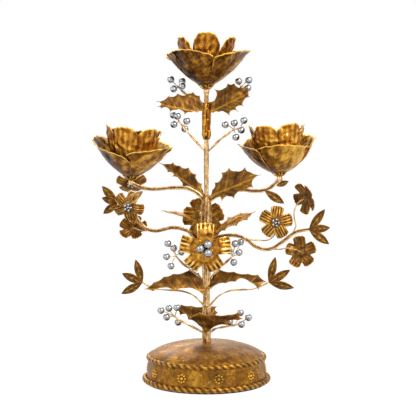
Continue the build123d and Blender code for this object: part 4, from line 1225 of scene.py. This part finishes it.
# Silver beads: pearls in the large flowers, stamens in the small ones, berries on their wires
PEARL_RADIUS = 5.3
pearls = Shape()
for name in ("centre_flower", "back_flower"):
    data = FLOWERS[name]
    lift = 0.9 + data["cup"] * 0.52 + PEARL_RADIUS * 0.96
    for turn in (60, 180, 300):
        spot = around_z(PEARL_RADIUS * 1.18, math.radians(turn), lift)
        ball(pearls, moved(spot, flower_seat(data)), PEARL_RADIUS, 20, 28, axis=data["towards"])
pearls.make("pearls_silver", SILVER, "silver_bead", ("pearls",))

BEAD_RADIUS = 1.734
BEAD_RING = 3.8
beads = Shape()
for name, data in FLOWERS.items():
    if not name.startswith("flower_"):
        continue
    seat = flower_seat(data)
    for x, y, z in [(0, 0, 3.3), *around_z(BEAD_RING, full_turn(5), 3.9)]:
        ball(beads, moved((x, y, z), seat), BEAD_RADIUS, 10, 14)
        tube(beads, moved([(x * 0.3, y * 0.3, 1.1), (x * 0.8, y * 0.8, 2.4), (x, y, z)], seat), 0.45, 6)
beads.make("flower_beads_silver", SILVER, "silver_bead", ("flower_beads",))

# Sprays, left and right at each level: the stalk's route and where its berries stand
SPRAYS = {
    "top": [
        ([(0, 2, 331), (-3.5, 3, 336), (-14, 7, 342), (-27, 9, 350), (-33, 8, 356.5)],
         [(-42.5, 8, 365.7), (-28.9, 14, 363.4), (-28.9, 3.6, 358), (-39.1, 4, 354.6)]),
        ([(0, 2, 331), (4, 3, 336), (20, 8, 343), (36, 9, 352), (42, 8, 357.2)],
         [(38.5, 8, 363.6), (50.6, 8, 364.9), (49.4, 8, 355.4)]),
    ],
    "upper": [
        ([(0, 0, 277), (-2.5, 0, 281), (-17.2, 0, 297.4), (-27, 0, 309), (-33, 0, 316.5)],
         [(-39.4, 5, 323.2), (-34.5, -4.4, 322.6), (-23.5, 0, 316.6), (-38.8, 0, 312.4),
          (-25.8, 6.4, 306.6)]),
        ([(0, 0, 277), (3, 0, 281), (15, 0, 293), (24, 0, 300), (33, 0, 306.6)],
         [(22.4, 0, 312.1), (33.3, -3, 314.4), (44.7, 0, 317.3), (41.6, 0, 305.8), (35.2, 0, 297.2)]),
    ],
    "middle": [
        ([(0, 2, 120), (-4.1, 2, 125), (-16, 2, 134.5), (-29.4, 1, 145.3), (-37, 0, 154)],
         [(-46.4, 0, 169), (-39.4, 3.4, 163), (-30.2, 8, 157.4), (-48, 0, 153), (-42.7, 0, 141.7)]),
        ([(0, 2, 120), (5, 2, 127), (14, 3, 137), (24, 3, 146), (31, 2, 153)],
         [(34.4, -3, 169.2), (41.4, 5, 170.2), (27.6, 7, 159.2), (39.4, 0, 158.2), (33, -2, 146.4)]),
    ],
    "bottom": [
        ([(0, 0, 57), (-4.1, -1, 60.5), (-18.7, -2, 68.8), (-30.7, -3, 75), (-38, -3, 80.5)],
         [(-55, 0, 87.5), (-45.4, 3, 89.6), (-35.6, -2, 91.5), (-48.2, 2, 79), (-34.4, 6, 72)]),
        ([(0, 0, 57), (5, -1, 60.5), (10, -1, 65), (21.1, -1, 67.6), (34, -1, 69.4)],
         [(41.4, 9, 83.1), (50.9, 2, 78.5), (42.4, -5, 71.4), (28.3, 5, 72.6)]),
    ],
}
BERRY_RADIUS = 4.455
BERRY_LEVELS = {"berries_upper": ("top", "upper"), "berries_lower": ("middle", "bottom")}
for label, levels in BERRY_LEVELS.items():
    shape = Shape()
    for level in levels:
        for _, spots in SPRAYS[level]:
            for spot in spots:
                ball(shape, spot, BERRY_RADIUS, 18, 26)
    shape.make(f"{label}_silver", SILVER, "silver_bead", (label,))

for index, (level, sprays) in enumerate(SPRAYS.items()):
    shape = Shape()
    for stalk, spots in sprays:
        wire_pair(shape, smooth_path(stalk, 8), 0.8, 0.82, 1.6, 0.66, 8, 0.3, 0.8, seed=31 + index)
        for spot in spots:
            start = min(stalk[2:], key=lambda point: (Vector(point) - Vector(spot)).length)
            halfway = (np.array(start) + np.array(spot)) / 2 + rng.normal(size=3) * 0.7
            wire = smooth_path([start, halfway, spot], 8)
            tube(shape, wire, 0.6, 8, 0.66, 0.08, index)
            outwards = Vector(wire[-3]) - Vector(spot)
            collar = np.array(spot) + np.array(outwards.normalized()) * BERRY_RADIUS * 0.99
            ball(shape, collar, 1.0, 8, 10, 0.7, 0.6, outwards)
    shape.make(f"stalks_{level}_wires", WIRE_GILT, "gilt_wire", (f"stalks_{level}",))

visual_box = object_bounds()
sizes = {"cad": [list(corner) for corner in cad_box], "visual": [list(corner) for corner in visual_box]}
